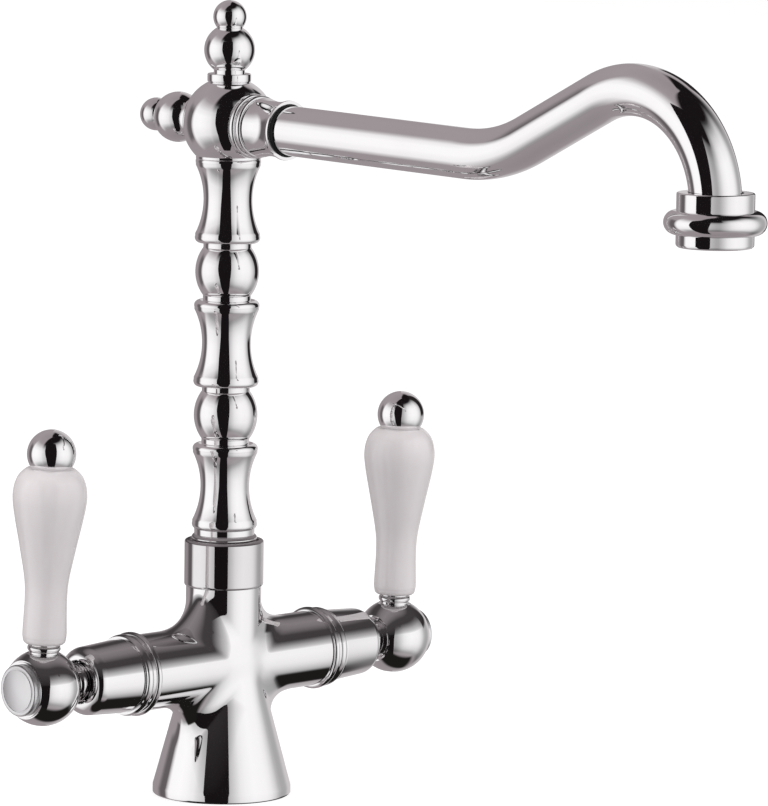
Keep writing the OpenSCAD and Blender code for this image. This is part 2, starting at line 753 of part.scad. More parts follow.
// Ceramic discs with two quarter openings each
module disc_openings(z, h) {
    for (t = [0, 180]) rotate([0, 0, t]) translate([disc_r * 0.5, 0, z]) cylinder(r = disc_r * 0.3, h = h);
}
module fixed_disc(side) {
    color(ceramic) on_arm(side) difference() {
        translate([0, 0, disc_x]) cylinder(r = disc_r, h = disc_t);
        disc_openings(disc_x - 1, disc_t + 2);
    }
}
module turning_disc(side) {
    color(ceramic) on_arm(side) difference() {
        translate([0, 0, disc_x + disc_t]) cylinder(r = disc_r - fit_c, h = disc_t);
        rotate([0, 0, 90]) disc_openings(disc_x + disc_t - 1, disc_t + 2);
    }
}

stem_ring_d = 1.6;
stem_ring_x = valve_end - 5;
module spindle(side) {
    color(brass) on_arm(side) difference() {
        union() {
            translate([0, 0, spindle_foot]) cylinder(r = disc_r - fit_c, h = spindle_foot_l);
            translate([0, 0, spindle_foot]) cylinder(r = spindle_r, h = hub_x + 4 - spindle_foot);
        }
        o_ring_groove(spindle_r, stem_ring_d, stem_ring_x);
    }
}
module spindle_o_ring(side) {
    color(black) on_arm(side) translate([0, 0, stem_ring_x]) rotate_extrude()
        o_ring2d(spindle_r, stem_ring_d);
}

module lever_hub(side) {
    groove_w = 0.5;
    color(chrome) difference() {
        on_arm(side) rotate_extrude() difference() {
            union() {
                ball2d(lever_r, hub_x, boss_x, step_x);
                bar2d(boss_r - 0.6, boss_x - 0.5, boss_x + 1);
                bar2d(step_r, step_x - 1, step_x + 0.7);
                bar2d(skirt_r, skirt_end, boss_x + 1);
            }
            // turned grooves on the skirt
            for (g = [boss_x - 1.8:-1.3:shroud_end - 4]) translate([skirt_r - 0.4, g - groove_w / 2])
                square([2, groove_w]);
            bar2d(spindle_r + fit_c, skirt_end - 1, hub_x + 4);
            bar2d(cap_r - 1.6, cap_face - 3.2, step_x + 2);
        }
        on_lever(side) {
            translate([0, 0, neck_ring_z]) cylinder(r = neck_ring_r + 0.25, h = lever_r);
            translate([0, 0, spindle_r + 1.5]) cylinder(r = rod_r + fit_c, h = lever_r);
        }
        translate([side * grub_x, 0, axis_z - lever_r - 1]) cylinder(r = grub_r + fit_c, h = lever_r);
    }
}

module index_cap(side) {
    edge = 0.7;
    color(chrome) on_arm(side) rotate_extrude() difference() {
        union() {
            bar2d(cap_r - 1.7, cap_face - 2.6, cap_face + 0.5);
            bar2d(cap_r, cap_face, cap_face + cap_t - edge);
            bar2d(cap_r - edge, cap_face, cap_face + cap_t);
            bead2d(cap_r, edge, cap_face + cap_t - edge);
        }
        // round line cut in the bare face
        translate([cap_r - 1.9, cap_face + cap_t - 0.3]) square([0.35, 1]);
    }
}

module neck_ring(side) {
    color(chrome) on_lever(side) rotate_extrude() difference() {
        union() {
            bar2d(neck_ring_r - 0.6, neck_ring_z, handle_z);
            bead2d(neck_ring_r, neck_ring_h * 0.36, neck_ring_z + neck_ring_h * 0.56);
        }
        bar2d(rod_r + fit_c, 0, handle_z + 1);
    }
}

// Smooth curve through points, with a few steps between each pair
function curve(p, steps) = [for (i = [0:len(p) - 2]) for (t = [0:1 / steps:0.999])
    let (a = p[max(i - 1, 0)], b = p[i], c = p[i + 1], d = p[min(i + 2, len(p) - 1)])
    ((2 * b) + (c - a) * t + (2 * a - 5 * b + 4 * c - d) * t * t
        + (3 * b - a - 3 * c + d) * t * t * t) / 2];

module porcelain_handle(side) {
    w = handle_waist_d / 2;
    m = handle_d / 2;
    h = handle_h;
    outline = [[w - 0.7, 0], [w - 0.1, 0.01 * h], [w + 0.2, 0.03 * h], [w + 0.35, 0.07 * h], [w, 0.25 * h],
        [w + 0.45, 0.37 * h], [w + (m - w) * 0.45, 0.55 * h], [m - 0.6, 0.75 * h],
        [m, 0.855 * h], [m - 1.3, 0.94 * h], [m - 4, 0.99 * h], [m - 5.8, h]];
    color("white") on_lever(side) difference() {
        translate([0, 0, handle_z]) rotate_extrude()
            polygon(concat([[0, 0]], curve(outline, 5), [[m - 5.8, h], [0, h]]));
        translate([0, 0, handle_z - 1]) cylinder(r = rod_r + 0.4, h = h + 2);
    }
}

module handle_rod(side) {
    color(steel) on_lever(side) translate([0, 0, spindle_r + 1.5])
        cylinder(r = rod_r, h = knob_z - spindle_r - 1.5);
}

module ball_nut(side) {
    color(chrome) on_lever(side) difference() {
        rotate_extrude() ball2d(knob_r, knob_z, handle_top, knob_z + knob_r + 1);
        cylinder(r = rod_r + fit_c, h = knob_z);
    }
}

module grub_screw(side) {
    top = axis_z - spindle_r - fit_c;
    low = axis_z - lever_r + 1.2;
    color(black) translate([side * grub_x, 0, low]) difference() {
        cylinder(r = grub_r, h = top - low);
        translate([0, 0, -1]) cylinder(r = 1.45, h = 3.2, $fn = 6);
    }
}

body_casting();
base_gasket();
swivel_bush();
column_o_rings();
collar_nut();
column();
spout_hub();
top_finial();
back_finial();
spout_collar();
spout_seal_ring();
spout_tube();
aerator_housing();
aerator_insert();
aerator_washer();
trim_ring(-1);  // left_trim_ring
trim_ring(1);  // right_trim_ring
valve_shroud(-1);  // left_valve_shroud
valve_shroud(1);  // right_valve_shroud
valve_body(-1);  // left_valve_body
valve_body(1);  // right_valve_body
valve_seal(-1);  // left_valve_seal
valve_seal(1);  // right_valve_seal
fixed_disc(-1);  // left_fixed_disc
fixed_disc(1);  // right_fixed_disc
turning_disc(-1);  // left_turning_disc
turning_disc(1);  // right_turning_disc
spindle(-1);  // left_spindle
spindle(1);  // right_spindle
spindle_o_ring(-1);  // left_spindle_o_ring
spindle_o_ring(1);  // right_spindle_o_ring
lever_hub(-1);  // left_lever_hub
lever_hub(1);  // right_lever_hub
index_cap(-1);  // left_index_cap
index_cap(1);  // right_index_cap
neck_ring(-1);  // left_neck_ring
neck_ring(1);  // right_neck_ring
porcelain_handle(-1);  // left_porcelain_handle
porcelain_handle(1);  // right_porcelain_handle
handle_rod(-1);  // left_handle_rod
handle_rod(1);  // right_handle_rod
ball_nut(-1);  // left_ball_nut
ball_nut(1);  // right_ball_nut
grub_screw(-1);  // left_grub_screw
grub_screw(1);  // right_grub_screw
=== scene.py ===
# %% [markdown]
# A two-lever mixer tap in Blender
#
# This lesson dresses a mixer tap for a washbasin: a chromed casting with two arms, a turned
# column, a swan-neck spout, and two levers with white porcelain handles.
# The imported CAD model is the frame. It says where every part is, and it carries the joints.
# Each cell builds one part or one finish in the same place, in metres, so nothing is fitted by eye.

# %% Load the frame
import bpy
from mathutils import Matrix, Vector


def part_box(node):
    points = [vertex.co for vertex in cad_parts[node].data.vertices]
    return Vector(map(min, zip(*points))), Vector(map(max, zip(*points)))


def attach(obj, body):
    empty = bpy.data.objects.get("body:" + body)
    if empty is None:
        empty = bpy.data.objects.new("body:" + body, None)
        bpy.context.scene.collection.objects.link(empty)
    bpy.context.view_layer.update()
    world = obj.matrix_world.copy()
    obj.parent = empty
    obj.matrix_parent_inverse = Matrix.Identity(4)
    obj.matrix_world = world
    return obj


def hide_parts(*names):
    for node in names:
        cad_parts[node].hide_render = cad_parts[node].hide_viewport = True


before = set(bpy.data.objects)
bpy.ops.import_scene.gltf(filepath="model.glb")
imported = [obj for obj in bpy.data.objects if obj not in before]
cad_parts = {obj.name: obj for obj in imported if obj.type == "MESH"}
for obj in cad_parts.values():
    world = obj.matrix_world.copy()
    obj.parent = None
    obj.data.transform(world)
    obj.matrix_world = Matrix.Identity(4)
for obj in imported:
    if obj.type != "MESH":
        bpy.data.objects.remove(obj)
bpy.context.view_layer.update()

import math

import bmesh
import bpy
import numpy as np
from mathutils import Matrix, Vector

MM = 0.001

# %% [markdown]
# The sizes that several parts share come first, in millimetres, as they are on a maker's drawing.
# They could be typed into each part, but then a change in one place would leave the others behind.
# So each is named once, and the heights are added up from the deck, the way the tap is stacked.

# %% Shared sizes
AXIS_Z = 49.2
ARM_L, ARM_R = 43.7, 14.0
NECK_R, BODY_TOP, THREAD_R = 13.9, 77.4, 12.4
FOOT_R, FOOT_BAND, CONE_TOP = 25.5, 3.0, 46.0
COLLAR_TOP = BODY_TOP + 17.2
STACK_Z = COLLAR_TOP + 3.1
WAIST_H, BALL_H = 33.3, 19.6
PITCH = WAIST_H + BALL_H
RIM_R, WAIST_R, GROOVE_R, BORE_R = 12.0, 8.95, 8.8, 5.5
RIM_BEAD = 1.9
RIM_OFF = WAIST_H / 2 - 2.65
COLUMN_TOP = STACK_Z + WAIST_H / 2 + 2 * PITCH + RIM_OFF + RIM_BEAD
HUB_R, HUB_FLAT_R = 16.9, 11.9
HUB_Z = COLUMN_TOP + math.sqrt(HUB_R ** 2 - HUB_FLAT_R ** 2)
TUBE_R, TUBE_WALL = 9.0, 1.0
TUBE_SEAT = TUBE_R + 0.05
VALVE_R, SKIRT_R, ROD_R, PEG_R = 10.45, 7.1, 2.55, 3.05
INLET_X, STUD_Y = 9.5, 13.5
DROP, RISE, REACH, RUN_L = 1.4, 26.6, 238.4, 137.2
BEND_R, SWAN_R = 64.0, 37.4
RING_END = ARM_L + 7.4
SHROUD_END = RING_END + 21.0
LEVER_R = 13.9
BOSS_R = LEVER_R * 0.63
BOSS_X = SHROUD_END + 6.2
HUB_X = BOSS_X + math.sqrt(LEVER_R ** 2 - BOSS_R ** 2)
LEAN = {-1: 2.7, 1: 1.6}
SIDES = {-1: "left", 1: "right"}
print("hub at", round(HUB_Z, 2), "mm; lever hubs at x =", round(HUB_X, 2), "mm")

# %% [markdown]
# Most of this tap was turned on a lathe, so most parts are one outline spun round an axis.
# Blender can do that with a Screw modifier or with Spin, but both leave doubled points on the axis.
# A short function that writes the rings itself closes the poles and turns every face outwards.
# A highlight shows where an edge was broken with a file, so a corner takes a small radius.
# Guard points beside each rounded corner keep the shading of the long faces flat.

# %% Outline helpers
def acosd(share):
    """The angle in degrees whose cosine is a share."""
    return math.degrees(math.acos(share))


def asind(share):
    """The angle in degrees whose sine is a share."""
    return math.degrees(math.asin(share))


def arc(r, z, radius, start, stop, steps=12):
    """Points on a circle about (r, z), from one angle to another, in degrees."""
    angles = np.radians(np.linspace(start, stop, steps + 1))
    return [(r + radius * math.cos(a), z + radius * math.sin(a)) for a in angles]


def soften(outline, closed=False, steps=5, guard=0.12):
    """Rounds each corner (r, z, radius) of an outline and guards the straight runs beside it."""
    done = []
    count = len(outline)
    for i, point in enumerate(outline):
        here = np.array(point[:2])
        inner = closed or 0 < i < count - 1
        if len(point) == 2 or not inner:
            done.append(tuple(here))
            continue
        before = np.array(outline[i - 1][:2]) - here
        after = np.array(outline[(i + 1) % count][:2]) - here
        a, b = np.linalg.norm(before), np.linalg.norm(after)
        before, after = before / a, after / b
        half = 0.5 * math.acos(float(np.clip(before @ after, -1, 1)))
        cut = min(point[2] / math.tan(half), 0.45 * a, 0.45 * b)
        radius = cut * math.tan(half)
        middle = (before + after) / np.linalg.norm(before + after)
        centre = here + middle * (radius / math.sin(half))
        first, last = here + before * cut - centre, here + after * cut - centre
        turn = math.atan2(first[0] * last[1] - first[1] * last[0], float(first @ last))
        if a > cut + 2.5 * guard:
            done.append(tuple(here + before * (cut + guard)))
        for k in range(steps + 1):
            c, s = math.cos(turn * k / steps), math.sin(turn * k / steps)
            done.append(tuple(centre + (first[0] * c - first[1] * s, first[0] * s + first[1] * c)))
        if b > cut + 2.5 * guard:
            done.append(tuple(here + after * (cut + guard)))
    return done


# %% Spin an outline
def in_scene(name, data):
    """A new object at the origin that shows some data."""
    piece = bpy.data.objects.new(name, data)
    bpy.context.scene.collection.objects.link(piece)
    return piece


def shade(mesh, smooth_below):
    """Smooth faces, with a sharp crease where they meet at more than an angle in degrees."""
    mesh.shade_smooth()
    mesh.set_sharp_from_angle(angle=math.radians(smooth_below))


def mesh_object(name, points, faces, smooth_below=32):
    """A new object at the origin with smooth faces and sharp creases."""
    mesh = bpy.data.meshes.new(name)
    mesh.from_pydata([tuple(p) for p in points], [], faces)
    mesh.validate()
    shade(mesh, smooth_below)
    return in_scene(name, mesh)


def volume(points, faces):
    """Signed volume of a closed mesh, below zero where the faces point inwards."""
    total = 0.0
    for face in faces:
        for i in range(1, len(face) - 1):
            total += points[face[0]] @ np.cross(points[face[i]], points[face[i + 1]])
    return total / 6


def along(origin, direction):
    """The matrix that lays the lathe's axis along a direction, starting at a point in mm."""
    turn = Vector((0, 0, 1)).rotation_difference(Vector(direction))
    return Matrix.Translation(Vector(origin)) @ turn.to_matrix().to_4x4()


def spin_arrays(outline, closed, sides):
    """Points and faces of an outline spun round the z axis."""
    points, rings = [], []
    for r, z in outline:
        if r < 1e-6:
            rings.append([len(points)] * sides)
            points.append((0.0, 0.0, z))
            continue
        start = len(points)
        rings.append([start + k for k in range(sides)])
        points += [(r * math.cos(2 * math.pi * k / sides), r * math.sin(2 * math.pi * k / sides), z)
                   for k in range(sides)]
    faces = []
    pairs = list(zip(rings, rings[1:])) + ([(rings[-1], rings[0])] if closed else [])
    for low, high in pairs:
        for k in range(sides):
            n = (k + 1) % sides
            face = [low[k], low[n], high[n], high[k]]
            face = [v for i, v in enumerate(face) if v not in face[:i]]
            if len(face) > 2:
                faces.append(face)
    return np.array(points), faces


def lathe(name, outline, place=None, closed=False, sides=128, smooth_below=32):
    """A turned piece: the outline in mm, spun, turned outwards and laid in its place in metres."""
    points, faces = spin_arrays(outline, closed, sides)
    if volume(points, faces) < 0:
        faces = [face[::-1] for face in faces]
    matrix = np.array(place or Matrix.Identity(4))
    points = (points @ matrix[:3, :3].T + matrix[:3, 3]) * MM
    piece = mesh_object(name, points, faces, smooth_below)
    print(f"{name}: {len(outline)} rings, {len(faces)} faces")
    return piece


# %% [markdown]
# Each finished piece stands for a CAD part, which it hides, takes its finish, and rides on the CAD
# body that carries it. One call at the end of each cell does all that.

# %% Hand a piece over
def dress(piece, body, node, material=None):
    """Gives a piece its finish, hangs it on the empty of the body that moves it, and hides the CAD part it
    stands for.
    """
    finish = material or CHROME
    if piece.data.materials:
        piece.data.materials[0] = finish
    else:
        piece.data.materials.append(finish)
    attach(piece, body)
    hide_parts(node)
    points = np.array([v.co for v in piece.data.vertices])
    off = np.abs(np.array([points.min(0), points.max(0)]) - np.array(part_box(node))).max()
    print(f"{piece.name}: within {off / MM:.2f} mm of the box of {node}")


def upright(x=0, y=0, z=0):
    """An upright axis from a point in mm."""
    return along((x, y, z), (0, 0, 1))


def on_arm(side):
    """The axis of an arm, measured from the middle of the tap."""
    return along((0, 0, AXIS_Z), (side, 0, 0))


def on_lever(side):
    """The axis of a handle, which leans forward a little where the tap is closed."""
    lean = math.radians(LEAN[side])
    return along((side * HUB_X, 0, AXIS_Z), (0, -math.sin(lean), math.cos(lean)))


drop = math.radians(DROP)
on_spout = along((0, 0, HUB_Z), (0, -math.cos(drop), -math.sin(drop)))
behind_hub = along((0, 0, HUB_Z), (0, math.cos(drop), math.sin(drop)))

# %% [markdown]
# Chrome has no colour of its own: it shows the room. What tells real chrome from a perfect mirror
# is its surface: polishing leaves faint waves and hairlines, and hands and water leave a thin film.
# A painted picture of scratches would be the quick way, but it would stretch over turned parts.
# So one node group makes the waves, the hairlines and the film from Object coordinates.
# It puts out a height and two masks, and every metal on the tap uses it with its own values.

# %% Node helpers
def new_group(name, inputs, outputs, kind="ShaderNodeTree"):
    """An empty node group with its sockets: (name, kind of socket, default where it has one)."""
    group = bpy.data.node_groups.new(name, kind)
    for way, rows in (("INPUT", inputs), ("OUTPUT", outputs)):
        for label, sort, *value in rows:
            socket = group.interface.new_socket(name=label, in_out=way, socket_type="NodeSocket" + sort)
            if value:
                socket.default_value = value[0]
    return group, group.nodes.new("NodeGroupInput"), group.nodes.new("NodeGroupOutput")


def add(tree, kind, **settings):
    """A node with its properties set."""
    node = tree.nodes.new(kind)
    for key, value in settings.items():
        setattr(node, key, value)
    return node


def wire(tree, *rows):
    """Joins nodes: each row is a node, its output, the next node and its input."""
    for source, output, target, socket in rows:
        tree.links.new(source.outputs[output], target.inputs[socket])


def feed(tree, value, socket):
    """Links an output to a socket, or sets the socket to a number or a colour."""
    if isinstance(value, bpy.types.NodeSocket):
        tree.links.new(value, socket)
    else:
        socket.default_value = (*value, 1) if isinstance(value, tuple) else value


def math_node(tree, operation, *values, clamp=False):
    """A Math node whose inputs are outputs or plain numbers; returns its output."""
    node = add(tree, "ShaderNodeMath", operation=operation, use_clamp=clamp)
    for value, socket in zip(values, node.inputs):
        feed(tree, value, socket)
    return node.outputs[0]


def mixed(tree, below, colour, mask, blend="MIX"):
    """Lays a colour over what is below it, where the mask is 1."""
    node = add(tree, "ShaderNodeMix", data_type="RGBA", blend_type=blend)
    for value, i in ((mask, 0), (below, 6), (colour, 7)):
        feed(tree, value, node.inputs[i])
    return node.outputs[2]


def noise(tree, vector, scale, detail=3.0, roughness=0.5):
    """A Noise Texture read at a vector."""
    node = add(tree, "ShaderNodeTexNoise")
    for label, value in (("Vector", vector), ("Scale", scale), ("Detail", detail), ("Roughness", roughness)):
        feed(tree, value, node.inputs[label])
    return node.outputs["Fac"]


def stretched(tree, vector, share):
    """The same vector, with its z drawn out to long streaks."""
    node = add(tree, "ShaderNodeMapping")
    node.inputs["Scale"].default_value = (1.0, 1.0, share)
    tree.links.new(vector, node.inputs["Vector"])
    return node.outputs[0]


# %% Polished surface group
POLISH, given, result = new_group(
    "polished surface",
    [("Vector", "Vector"), ("Wave Scale", "Float", 60.0), ("Hairline Scale", "Float", 900.0),
     ("Film", "Float", 0.5)],
    [("Height", "Float"), ("Film Mask", "Float"), ("Hairlines", "Float")])
at = given.outputs["Vector"]
waves = noise(POLISH, at, given.outputs["Wave Scale"], detail=2.0)
hairs = noise(POLISH, stretched(POLISH, at, 0.06), given.outputs["Hairline Scale"], 4.0, 0.65)
film = math_node(POLISH, "SUBTRACT", noise(POLISH, at, 38.0, 5.0, 0.6), 0.46)
film = math_node(POLISH, "MULTIPLY", film, 5.0, clamp=True)
feed(POLISH, math_node(POLISH, "MULTIPLY", film, given.outputs["Film"]), result.inputs["Film Mask"])
feed(POLISH, hairs, result.inputs["Hairlines"])
feed(POLISH, math_node(POLISH, "MULTIPLY_ADD", hairs, 0.04, waves), result.inputs["Height"])
print("polished surface group:", len(POLISH.nodes), "nodes")

# %% [markdown]
# The metals share that group. Chrome is nearly white and very smooth, and where the film lies it is
# a little duller and a trace warmer. Brass, steel and the other hidden metals are rougher.
# The shader itself stays in the material, with its constant values set on its own sockets.

# %% Metals
def new_material(name, empty=False):
    """A material with nodes, and its node tree."""
    material = bpy.data.materials.new(name)
    material.use_nodes = True
    if empty:
        material.node_tree.nodes.clear()
    return material, material.node_tree


def patterned(name, group, values, mask, colours, bump, sockets):
    """A material whose two colours mix by a group's mask, with the group's height as its relief."""
    material, tree = new_material(name)
    shader, where = tree.nodes["Principled BSDF"], add(tree, "ShaderNodeTexCoord")
    pattern, raised = add(tree, "ShaderNodeGroup", node_tree=group), add(tree, "ShaderNodeBump")
    for node, settings in (pattern, values), (raised, {"Strength": 1.0, "Distance": bump}), (shader, sockets):
        for label, value in settings.items():
            node.inputs[label].default_value = value
    feed(tree, mixed(tree, *colours, pattern.outputs[mask]), shader.inputs["Base Color"])
    wire(tree, (where, "Object", pattern, "Vector"), (pattern, "Height", raised, "Height"),
         (raised, 0, shader, "Normal"))
    return material, shader, pattern


def polished_metal(name, colours, rough, film_rough, wave_scale, film, bump):
    """A metal whose roughness and colour vary with the film, and whose height carries the polish."""
    material, shader, polish = patterned(name, POLISH, {"Wave Scale": wave_scale, "Film": film},
                                         "Film Mask", colours, bump, {"Metallic": 1.0})
    tree = material.node_tree
    dull = math_node(tree, "MULTIPLY_ADD", polish.outputs["Film Mask"], film_rough - rough, rough)
    feed(tree, math_node(tree, "MULTIPLY_ADD", polish.outputs["Hairlines"], rough * 0.3, dull),
         shader.inputs["Roughness"])
    return material


CHROME = polished_metal("chrome plate", ((0.93, 0.925, 0.93), (0.90, 0.885, 0.885)),
                        0.025, 0.07, 55.0, 0.5, 0.000008)
# Painted shade: the collar nut is plated like the rest, and this darker copy of chrome darkens what it
# reflects.
SHADED_NUT_CHROME = polished_metal("collar nut chrome with painted shade", ((0.80, 0.785, 0.79), (0.76, 0.745, 0.75)),
                            0.035, 0.08, 55.0, 0.5, 0.000008)
SATIN_CHROME = polished_metal("cap face chrome", ((0.88, 0.88, 0.89), (0.84, 0.83, 0.83)),
                              0.34, 0.42, 80.0, 0.5, 0.00001)
BRASS = polished_metal("machined brass", ((0.78, 0.60, 0.30), (0.66, 0.48, 0.24)),
                       0.24, 0.40, 120.0, 0.7, 0.00003)
STEEL = polished_metal("stainless steel", ((0.62, 0.62, 0.63), (0.55, 0.54, 0.53)),
                       0.22, 0.34, 120.0, 0.6, 0.00002)
BLACK_SCREW = polished_metal("blackened screw", ((0.05, 0.05, 0.055), (0.08, 0.07, 0.065)),
                             0.36, 0.5, 150.0, 0.8, 0.00003)
METALS = [CHROME, SHADED_NUT_CHROME, SATIN_CHROME, BRASS, STEEL, BLACK_SCREW]
print("metals:", ", ".join(material.name for material in METALS))

# %% [markdown]
# The handles are porcelain: a white clay body under a clear glaze. The glaze is smooth and shiny,
# but it is not flat, because it flowed while it melted. Under it the white drifts a little from
# cool to warm, with long soft streaks down the handle. A coat over a faintly mottled base does it.
# A second, softer recipe serves the parts that are rubber, nylon and plain ceramic.

# %% Porcelain
def drift_group(name):
    """An empty group for a non-metal: a drift between two tones, and a height."""
    return new_group(name, [("Vector", "Vector")], [("Drift", "Float"), ("Height", "Float")])


def two_tone(name, group, colours, rough, bump, **sockets):
    """A non-metal whose colour drifts between two tones, with a soft relief."""
    return patterned(name, group, {}, "Drift", colours, bump,
                     {"Roughness": rough, "Coat Roughness": 0.04, **sockets})[0]


GLAZE, given, result = drift_group("melted glaze")
at = given.outputs["Vector"]
streaks = math_node(GLAZE, "MULTIPLY", noise(GLAZE, stretched(GLAZE, at, 0.12), 260.0, detail=2.0), 0.55)
clouds = math_node(GLAZE, "MULTIPLY", noise(GLAZE, at, 70.0), 0.45)
feed(GLAZE, math_node(GLAZE, "ADD", streaks, clouds), result.inputs["Drift"])
feed(GLAZE, noise(GLAZE, at, 90.0, detail=1.0), result.inputs["Height"])
PORCELAIN = two_tone("white porcelain", GLAZE, ((0.81, 0.768, 0.775), (0.69, 0.645, 0.652)),
                     0.22, 0.00004, **{"Coat Weight": 0.42})
print("porcelain:", len(GLAZE.nodes), "nodes in its group")

# %% Rubber, nylon and plain ceramic
GRAIN, given, result = drift_group("moulded grain")
feed(GRAIN, noise(GRAIN, given.outputs["Vector"], 120.0), result.inputs["Drift"])
feed(GRAIN, noise(GRAIN, given.outputs["Vector"], 1400.0, detail=2.0), result.inputs["Height"])
RUBBER = two_tone("black rubber", GRAIN, ((0.006, 0.006, 0.0065), (0.016, 0.0155, 0.015)), 0.5, 0.00003,
                  **{"Specular IOR Level": 0.15})
NYLON = two_tone("white nylon", GRAIN, ((0.78, 0.77, 0.72), (0.70, 0.69, 0.64)), 0.45, 0.00002)
CERAMIC = two_tone("disc ceramic", GRAIN, ((0.86, 0.84, 0.79), (0.80, 0.77, 0.71)), 0.18, 0.000006)
print("soft parts:", ", ".join(material.name for material in (RUBBER, NYLON, CERAMIC)))

# %% [markdown]
# A photograph of chrome is mostly a photograph of the studio, so the studio is built next.
# The balls of this tap show it like a map: a tall white panel to the right of the camera and one to
# its left, a narrow black gap between them where the camera stands, a grey ceiling, and darkness
# below. The camera is placed first, because the panels are placed from it.

# %% Camera
IMAGE_W, SENSOR, FOCAL_PX = 768, 36.0, 5855.67
CAMERA_AZ, CAMERA_D, CAMERA_Z = math.radians(43.55), 2135.36, 410.26
LOOK_AZ, LOOK_DOWN, ROLL = math.radians(45.11), math.radians(7.06), math.radians(0.83)
camera_at = Vector((-CAMERA_D * math.sin(CAMERA_AZ), -CAMERA_D * math.cos(CAMERA_AZ), CAMERA_Z))
forward = Vector((math.sin(LOOK_AZ) * math.cos(LOOK_DOWN), math.cos(LOOK_AZ) * math.cos(LOOK_DOWN),
                  -math.sin(LOOK_DOWN)))
right = Vector((math.cos(LOOK_AZ), -math.sin(LOOK_AZ), 0))
up = right.cross(forward)
camera_right = right * math.cos(ROLL) + up * math.sin(ROLL)
camera_up = up * math.cos(ROLL) - right * math.sin(ROLL)
lens = bpy.data.cameras.new("photo camera")
lens.sensor_fit, lens.sensor_width = "HORIZONTAL", SENSOR
lens.lens = FOCAL_PX / IMAGE_W * SENSOR
lens.clip_end = 20.0
camera = in_scene("photo camera", lens)
camera.matrix_world = Matrix.Translation(camera_at * MM) @ Matrix(
    (camera_right, camera_up, -forward)).transposed().to_4x4()
bpy.context.scene.camera = camera
bpy.context.scene.view_settings.view_transform = "Standard"
print("lens", round(lens.lens, 1), "mm at", [round(v) for v in camera_at])

# %% [markdown]
# Most of the studio is far away, so it is painted into the world, by the direction of a reflection:
# two white panels with soft rounded edges, the dark frame round them, a grey ceiling and far side.
# An image of a studio would be the usual way; a few masks on azimuth and elevation are sharper,
# and each can be moved on its own. The camera itself sees plain white behind the tap, and matt
# surfaces get an even light, so that the porcelain comes out about as it is coloured.

# %% Directions in the world
world = bpy.data.worlds.new("studio")
bpy.context.scene.world = world
world.use_nodes = True
tree = world.node_tree
tree.nodes.clear()
out = add(tree, "ShaderNodeOutputWorld")
where = add(tree, "ShaderNodeTexCoord")
split = add(tree, "ShaderNodeSeparateXYZ")
tree.links.new(where.outputs["Generated"], split.inputs[0])
x, y, z = split.outputs
near = -forward.to_2d().normalized()


def fades(tree, *rows):
    """The product of several smooth steps, each (value, where it is 0, where it is 1)."""
    steps = []
    for value, low, high in rows:
        node = add(tree, "ShaderNodeMapRange", interpolation_type="SMOOTHSTEP")
        for label, setting in (("From Min", low), ("From Max", high), ("Value", value)):
            feed(tree, setting, node.inputs[label])
        steps.append(node.outputs[0])
    mask = steps[0]
    for step in steps[1:]:
        mask = math_node(tree, "MULTIPLY", mask, step)
    return mask


to_left = math_node(tree, "MULTIPLY_ADD", x, -right.x, math_node(tree, "MULTIPLY", y, -right.y))
to_camera = math_node(tree, "MULTIPLY_ADD", x, near.x, math_node(tree, "MULTIPLY", y, near.y))
degrees = 180 / math.pi
azimuth = math_node(tree, "MULTIPLY", math_node(tree, "ARCTAN2", to_left, to_camera), degrees)
elevation = math_node(tree, "MULTIPLY", math_node(tree, "ARCSINE", z), degrees)
print("azimuth runs from the camera to the left; elevation runs up; both in degrees")

# %% Painted studio
def profile(tree, value, reach, stops):
    """A mask that runs through the stops; each is a place, up to reach either way, and a level."""
    node = add(tree, "ShaderNodeValToRGB")
    tree.links.new(math_node(tree, "MULTIPLY_ADD", value, 0.5 / reach, 0.5), node.inputs[0])
    elements = node.color_ramp.elements
    while len(elements) < len(stops):
        elements.new(0.5)
    for element, (place, grey) in zip(elements, sorted(stops)):
        element.position = 0.5 + 0.5 * place / reach
        element.color = (grey, grey, grey, 1)
    return node.outputs[0]


BLACK, PINK, WHITE = (0.009, 0.007, 0.008), (1.0, 0.89, 0.93), (1.0, 1.0, 1.0)
ROOM = [(-90, 0.28), (-45, 0.33), (-10, 0.33), (15, 0.34), (45, 0.36), (90, 0.30)]
DARK = {
    "frame": (BLACK, (azimuth, -152, -134), (azimuth, 54, 40), (elevation, -52, -38)),
    "left side": (BLACK, (azimuth, 40, 54), (azimuth, 102, 74), (elevation, 34, 20), (elevation, -52, -38)),
    "left edge": ((0.13, 0.115, 0.12), (azimuth, 136, 118), (azimuth, 98, 106), (elevation, 26, 14),
                  (elevation, -30, -20)),
    "over the shoulder": (BLACK, (azimuth, -178, -166), (azimuth, -118, -130), (elevation, 46, 54),
                          (elevation, 88, 80)),
}
PANELS = {
    "right": ([(-124, 0), (-115, 0.13), (-105, 0.5), (-95, 0.78), (-85, 0.9), (-60, 0.95), (-45, 0.86),
               (-35, 0.73), (-25, 0.45), (-16, 0.2), (-8, 0)],
              [(-55, 0), (-44, 0.2), (-33, 0.62), (-18, 0.9), (0, 1), (26, 1), (38, 0.88), (47, 0.66),
               (54, 0.32), (59, 0.06), (62, 0)]),
    "left": ([(0, 0.4), (28, 0.6), (38, 0.72), (48, 0.87), (60, 0.95), (75, 1), (97, 0.97), (103, 0.5),
              (108, 0)],
             [(-50, 0), (-38, 0.45), (-24, 0.88), (-5, 1), (15, 1), (26, 0.85), (36, 0.4), (46, 0.05),
              (52, 0)]),
}
picture = mixed(tree, profile(tree, elevation, 90, ROOM), PINK, 1, "MULTIPLY")
for colour, *rows in DARK.values():
    picture = mixed(tree, picture, colour, fades(tree, *rows))
for across, upwards in PANELS.values():
    light = math_node(tree, "MULTIPLY", profile(tree, azimuth, 180, across),
                      profile(tree, elevation, 90, upwards))
    picture = mixed(tree, picture, (1.05, 1.04, 1.045), light)
